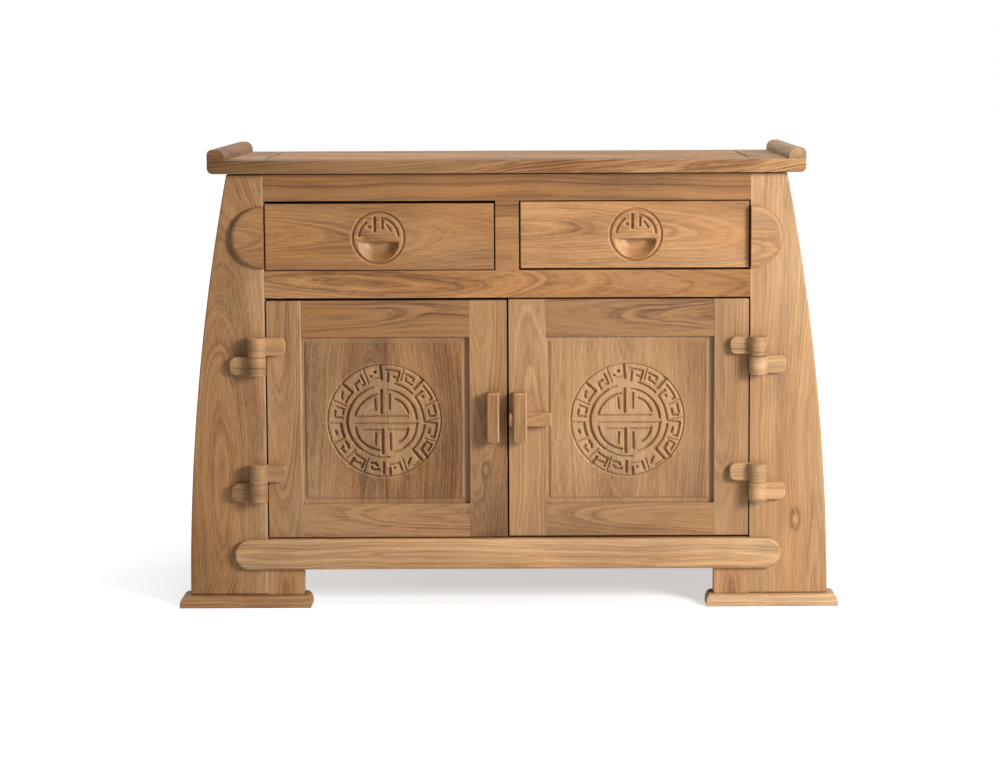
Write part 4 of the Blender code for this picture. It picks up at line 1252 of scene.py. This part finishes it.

# %% [markdown]
# The panel stands raised inside its frame. Around its field runs a margin that is sunk a few millimetres
# and wider on some sides than on others. A bevel would make the margin even, so its slope is pushed into
# the same grid as the carving. The margin is painted paler than the field, a painted light against the
# shade of its recess. The wood between the strokes is painted pale too, partly rubbed by hands and partly
# a painted highlight on the ridges.

# %% Carve the door panels
PANEL_FORWARD = 0.0020
PANEL_MARGIN = (0.0045, 0.0095, 0.0080, 0.0070)
PANEL_SLOPE = 0.0050
BEYOND_SLOPE = 0.002
PANEL_SUNK = 0.0035
PANEL_EASE = 0.0001
# The sunk margin is painted paler, a painted light against the shade of its recess. The field between the
# strokes is painted pale, partly rubbing by hands and partly a painted highlight on the ridges.
MARGIN_PAINTED_LIGHT = 0.50
FRET_DEEP = 0.0048
HANDLED_AND_LIT = 0.55
CARVED_ASIDE = {"left": (-0.0035, -0.0004), "right": (-0.0054, 0.0002)}


def door_light(side_name):
    """The opening that a door's frame leaves for its panel."""
    stiles = ["%s_door_%s_stile" % (side_name, kind) for kind in ("hinge", "lock")]
    edges = sorted(edge for stile in stiles for edge in span(stile, 0))
    return edges[1:3], (high(side_name + "_door_bottom_rail").z, low(side_name + "_door_top_rail").z)


def door_panel(side_name, seed, **extras):
    node = side_name + "_door_panel"
    light_x, light_z = door_light(side_name)
    field_face, rear = span(node, 1)
    field_face -= PANEL_FORWARD
    left, right, bottom, top = PANEL_MARGIN
    middle = np.array([sum(light_x) / 2, sum(light_z) / 2]) + CARVED_ASIDE[side_name]
    reach = MEDALLION + AROUND_CARVING
    edge = max(PANEL_MARGIN) + PANEL_SLOPE + BEYOND_SLOPE
    grid = []
    for (near, far), centre in zip((light_x, light_z), middle):
        near, far = near - IN_GROOVE, far + IN_GROOVE
        fine = [(near, near + edge), (centre - reach, centre + reach), (far - edge, far)]
        grid.append(grid_lines(near, far, fine))
    strokes = medallion_strokes()

    def raised(points):
        """One on the field of the panel, zero on its sunk margin."""
        inward = np.minimum.reduce([points[:, 0] - light_x[0] - left, light_x[1] - right - points[:, 0],
                                    points[:, 1] - light_z[0] - bottom, light_z[1] - top - points[:, 1]])
        return np.clip(inward / PANEL_SLOPE, 0, 1)

    def push(points):
        return PANEL_SUNK * (1 - raised(points)) + groove_depth(points - middle, strokes)

    mesh, carved = carved_board(*grid, field_face, rear, push, PANEL_EASE)
    flat = front_view(mesh)
    local = flat - middle
    wear = groove_wear(local, strokes, FRET_DEEP)
    handled_and_lit = (np.hypot(local[:, 0], local[:, 1]) < MEDALLION) & (wear == 0)
    wear = np.where(handled_and_lit, -HANDLED_AND_LIT, wear) - MARGIN_PAINTED_LIGHT * (raised(flat) < 1)
    return dress(node, mesh, "Z", seed=seed, wear=wear * carved, **extras)


door_panel("left", 211, knot=(-0.2400, 0.40, 0.0035, 0.20), glued=(-0.2440, 212), fade=(0, -0.14, -2.4),
           log=(0.030, 0.035, 0.20))
door_panel("right", 214, fade=(0, -0.34, -1.0))
print("panels carved")

# %% [markdown]
# The frame of a door is four planed boards: the stiles run through, and the rails stop between them. The
# photograph shows a wider gap above the left door and one below the right door. Trimming the boards by a
# millimetre or two makes those gaps, and they open with the door, which a painted line would not.

# %% Frame the doors
TRIMMED = {"left": (0.0, 0.0024), "right": (0.0018, 0.0007)}
DOOR_STILE_EASE = 0.0007
DOOR_RAIL_EASE = 0.0006


def door_frame(side_name, seeds, marks):
    light_x = door_light(side_name)[0]
    raised, lowered = TRIMMED[side_name]
    for kind in ("hinge", "lock"):
        node = "%s_door_%s_stile" % (side_name, kind)
        z = (low(node).z + raised, high(node).z - lowered)
        board = planed(span(node, 0), span(node, 1), z, DOOR_STILE_EASE)
        dress(node, board, "Z", seed=seeds[kind], **marks.get(kind, {}))
    for kind in ("top", "bottom"):
        node = "%s_door_%s_rail" % (side_name, kind)
        z = (low(node).z + raised * (kind == "bottom"), high(node).z - lowered * (kind == "top"))
        board = planed((light_x[0] + SEAM, light_x[1] - SEAM), span(node, 1), z, DOOR_RAIL_EASE)
        dress(node, board, "X", seed=seeds[kind], **marks.get(kind, {}))


door_frame("left", {"hinge": 221, "lock": 222, "top": 223, "bottom": 224},
           {"lock": {"knot": (-0.0435, 0.272, 0.009, 0.017), "fade": (2, 0.32, 0.0)},
            "hinge": {"sap": (high("left_door_hinge_stile").x - 0.0024, 1), "fade": (2, 0.30, 0.8)}})
door_frame("right", {"hinge": 226, "lock": 227, "top": 228, "bottom": 229},
           {"lock": {"fade": (2, 0.12, 0.0)}, "hinge": {"fade": (2, 0.10, 0.0)}})
print("doors framed,", len(made), "pieces so far")

# %% [markdown]
# ## Hinges and latch
# The hinges are wood through and through: two knuckles turn on a hidden pin, one with a tongue on the door
# and one with a tongue on the stile. A knuckle could simply sit on its tongue, but where they meet a seam
# would show. So they are united, and each leaf is one closed solid with eased edges.

# %% Turn the hinges
TURN_STEPS = 56
KNUCKLE_EASE = 0.0016
BEHIND_KNUCKLE = 0.0005
TONGUE_ROOT = 0.004
TONGUE_END = 0.0125
TONGUE_THICK = 0.0150
TONGUE_EASE = 0.0028
TONGUE_PLAY = 0.0012
FIRST_LEAF_SEED = 241


def knuckle(x, y, radius, z):
    shape = bmesh.new()
    bmesh.ops.create_cone(shape, cap_ends=True, segments=TURN_STEPS, radius1=radius, radius2=radius,
                          depth=z[1] - z[0])
    bmesh.ops.translate(shape, vec=(x, y, (z[0] + z[1]) / 2), verts=shape.verts)
    rims = [edge for edge in shape.edges if edge.calc_face_angle(0) > CORNER]
    ease(shape, rims, KNUCKLE_EASE, 3)
    return shape


def hinge_leaf(node, seed):
    (x0, y0, z0), (x1, y1, z1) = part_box(node)
    side = -1 if node.startswith("left") else 1
    toward = -side if "door_leaf" in node else side
    radius = (y1 - y0 - BEHIND_KNUCKLE) / 2
    axis_x, end_x = (x0 + radius, x1) if toward > 0 else (x1 - radius, x0)
    z = (z0 + TONGUE_PLAY, z1 - TONGUE_PLAY)
    tip = abs(end_x - axis_x)
    outline = [(TONGUE_ROOT, z[0])] + arc((tip - TONGUE_END, z[0] + TONGUE_END), TONGUE_END, -90, 0, 8)
    outline += arc((tip - TONGUE_END, z[1] - TONGUE_END), TONGUE_END, 0, 90, 8) + [(TONGUE_ROOT, z[1])]
    outline = [(axis_x + toward * x, height) for x, height in outline]
    tongue = sawn(outline, (y1 - TONGUE_THICK, y1), TONGUE_EASE, 3, faces=("front",))
    turned = knuckle(axis_x, y0 + radius, radius, (z0, z1))
    return dress(node, united(turned, tongue), "X", cut="straight", seed=seed)


leaves = ["%s_%s_hinge_%s_leaf" % (side_name, height, holder) for side_name in SIDES
          for height in ("lower", "upper") for holder in ("door", "frame")]
for number, leaf in enumerate(leaves):
    hinge_leaf(leaf, FIRST_LEAF_SEED + number)
print("hinge leaves:", len(leaves))

# %% [markdown]
# The latch is a block with rounded edges on each door, and a bolt that slides through the right block into
# the left one. Whole blocks would look the same while the doors are closed. The bolt's way is cut out of
# both with a little play instead, so that it can be pushed home without cutting into the wood. The rounded
# edges of the blocks get a painted highlight in pale sapwood colour, strong on the right and weak on the
# left.

# %% Shape the latch
BLOCK_ROUNDING = 0.0036
BOLT_ROUNDING = 0.0022
SLOT_EASE = 0.0002
# Painted highlight on the rounded edges of the blocks: strong on the right, weak on the left.
EDGE_HIGHLIGHT = {"left": 0.2, "right": 1.0}
BOLT_TRAVEL = 0.036
BOLT_PLAY = 0.0006


def painted_edge_highlight(mesh, x, y, z):
    """Painted highlight on the rounded edges of a block, strong on the right and weak on the left, none on
    its flat faces.
    """
    points = np.array([vert.co for vert in mesh.vertices])
    on_face = np.zeros(len(points), bool)
    for axis, ends in enumerate((x, y, z)):
        for end in ends:
            on_face |= np.abs(points[:, axis] - end) < 1e-5
    right = points[:, 0] > sum(x) / 2
    return np.where(on_face, 0.0, np.where(right, -EDGE_HIGHLIGHT["right"], -EDGE_HIGHLIGHT["left"]))


def bolt_slot():
    """The room that the bolt needs on its way, with a little play."""
    x, y, z = ((start - BOLT_PLAY, end + BOLT_PLAY) for start, end in spans("latch_bolt"))
    return planed((x[0] - BOLT_TRAVEL, x[1]), y, z, SLOT_EASE, 1)


def latch_block(node, seed, along, rounding, segments, longer=(0.0, 0.0), slotted=True):
    x, y, z = spans(node)
    x = (x[0] - longer[0], x[1] + longer[1])
    block = planed(x, y, z, rounding, segments)
    mesh = united(block, bolt_slot(), operation="DIFFERENCE") if slotted else as_mesh(block, node)
    return dress(node, mesh, along, seed=seed, wear=painted_edge_highlight(mesh, x, y, z))


latch_block("latch_keeper_left", 261, "Z", BLOCK_ROUNDING, 4, longer=(0.0018, -0.0018))
latch_block("latch_keeper_right", 262, "Z", BLOCK_ROUNDING, 4, longer=(0.0015, 0.0012))
latch_block("latch_bolt", 263, "X", BOLT_ROUNDING, 3, slotted=False)
print("latch shaped,", len(made), "pieces in all")

# %% [markdown]
# ## The inner boards
# The shelf, the floor of the cupboard, the dust board, the drawer boxes and the hinge pins keep their
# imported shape. They could be made again like the rest, but they only show when a door or a drawer is open.
# They have no attributes of their own, so this teak reads its grain from the object's own space.

# %% Finish the inner boards
INNER_HEART = 0.05
INNER_RISE = 0.04


def inner_teak(along, brightness):
    material, tree = blank_finish("inner_teak_along_" + along.lower())
    place = add(tree, "SeparateXYZ", {0: add(tree, "TexCoord").outputs["Object"]}).outputs
    length, width, depth = (place[axis] for axis in AXES[along])
    rise = times(tree, length, INNER_RISE)
    heart = plus(tree, plus(tree, depth, INNER_HEART), rise)
    grain = add(tree, "CombineXYZ", {0: length, 1: width, 2: heart}).outputs[0]
    mark = add(tree, "CombineXYZ", dict(enumerate(NO_MARK))).outputs[0]
    dark, height = teak_figure(tree, grain, mark, FIGURE["calm"])
    colour = teak_colour(tree, dark, grain, (brightness, 0.0), NO_MARK[2], 0.0)
    finish_surface(tree, colour, height, INNER_ROUGHNESS)
    return material


INNER = {along: inner_teak(along, brightness) for along, brightness in (("X", 0.85), ("Y", 0.9), ("Z", 0.9))}
for node, piece in frame["nodes"].items():
    if node + "_wood" in made or node == "top_panel":
        continue
    along = "Z" if node.endswith("pin") else "Y" if "drawer" in node else "X"
    piece.data.materials.clear()
    piece.data.materials.append(INNER[along])
    print("inner board", node, "with grain along", along)
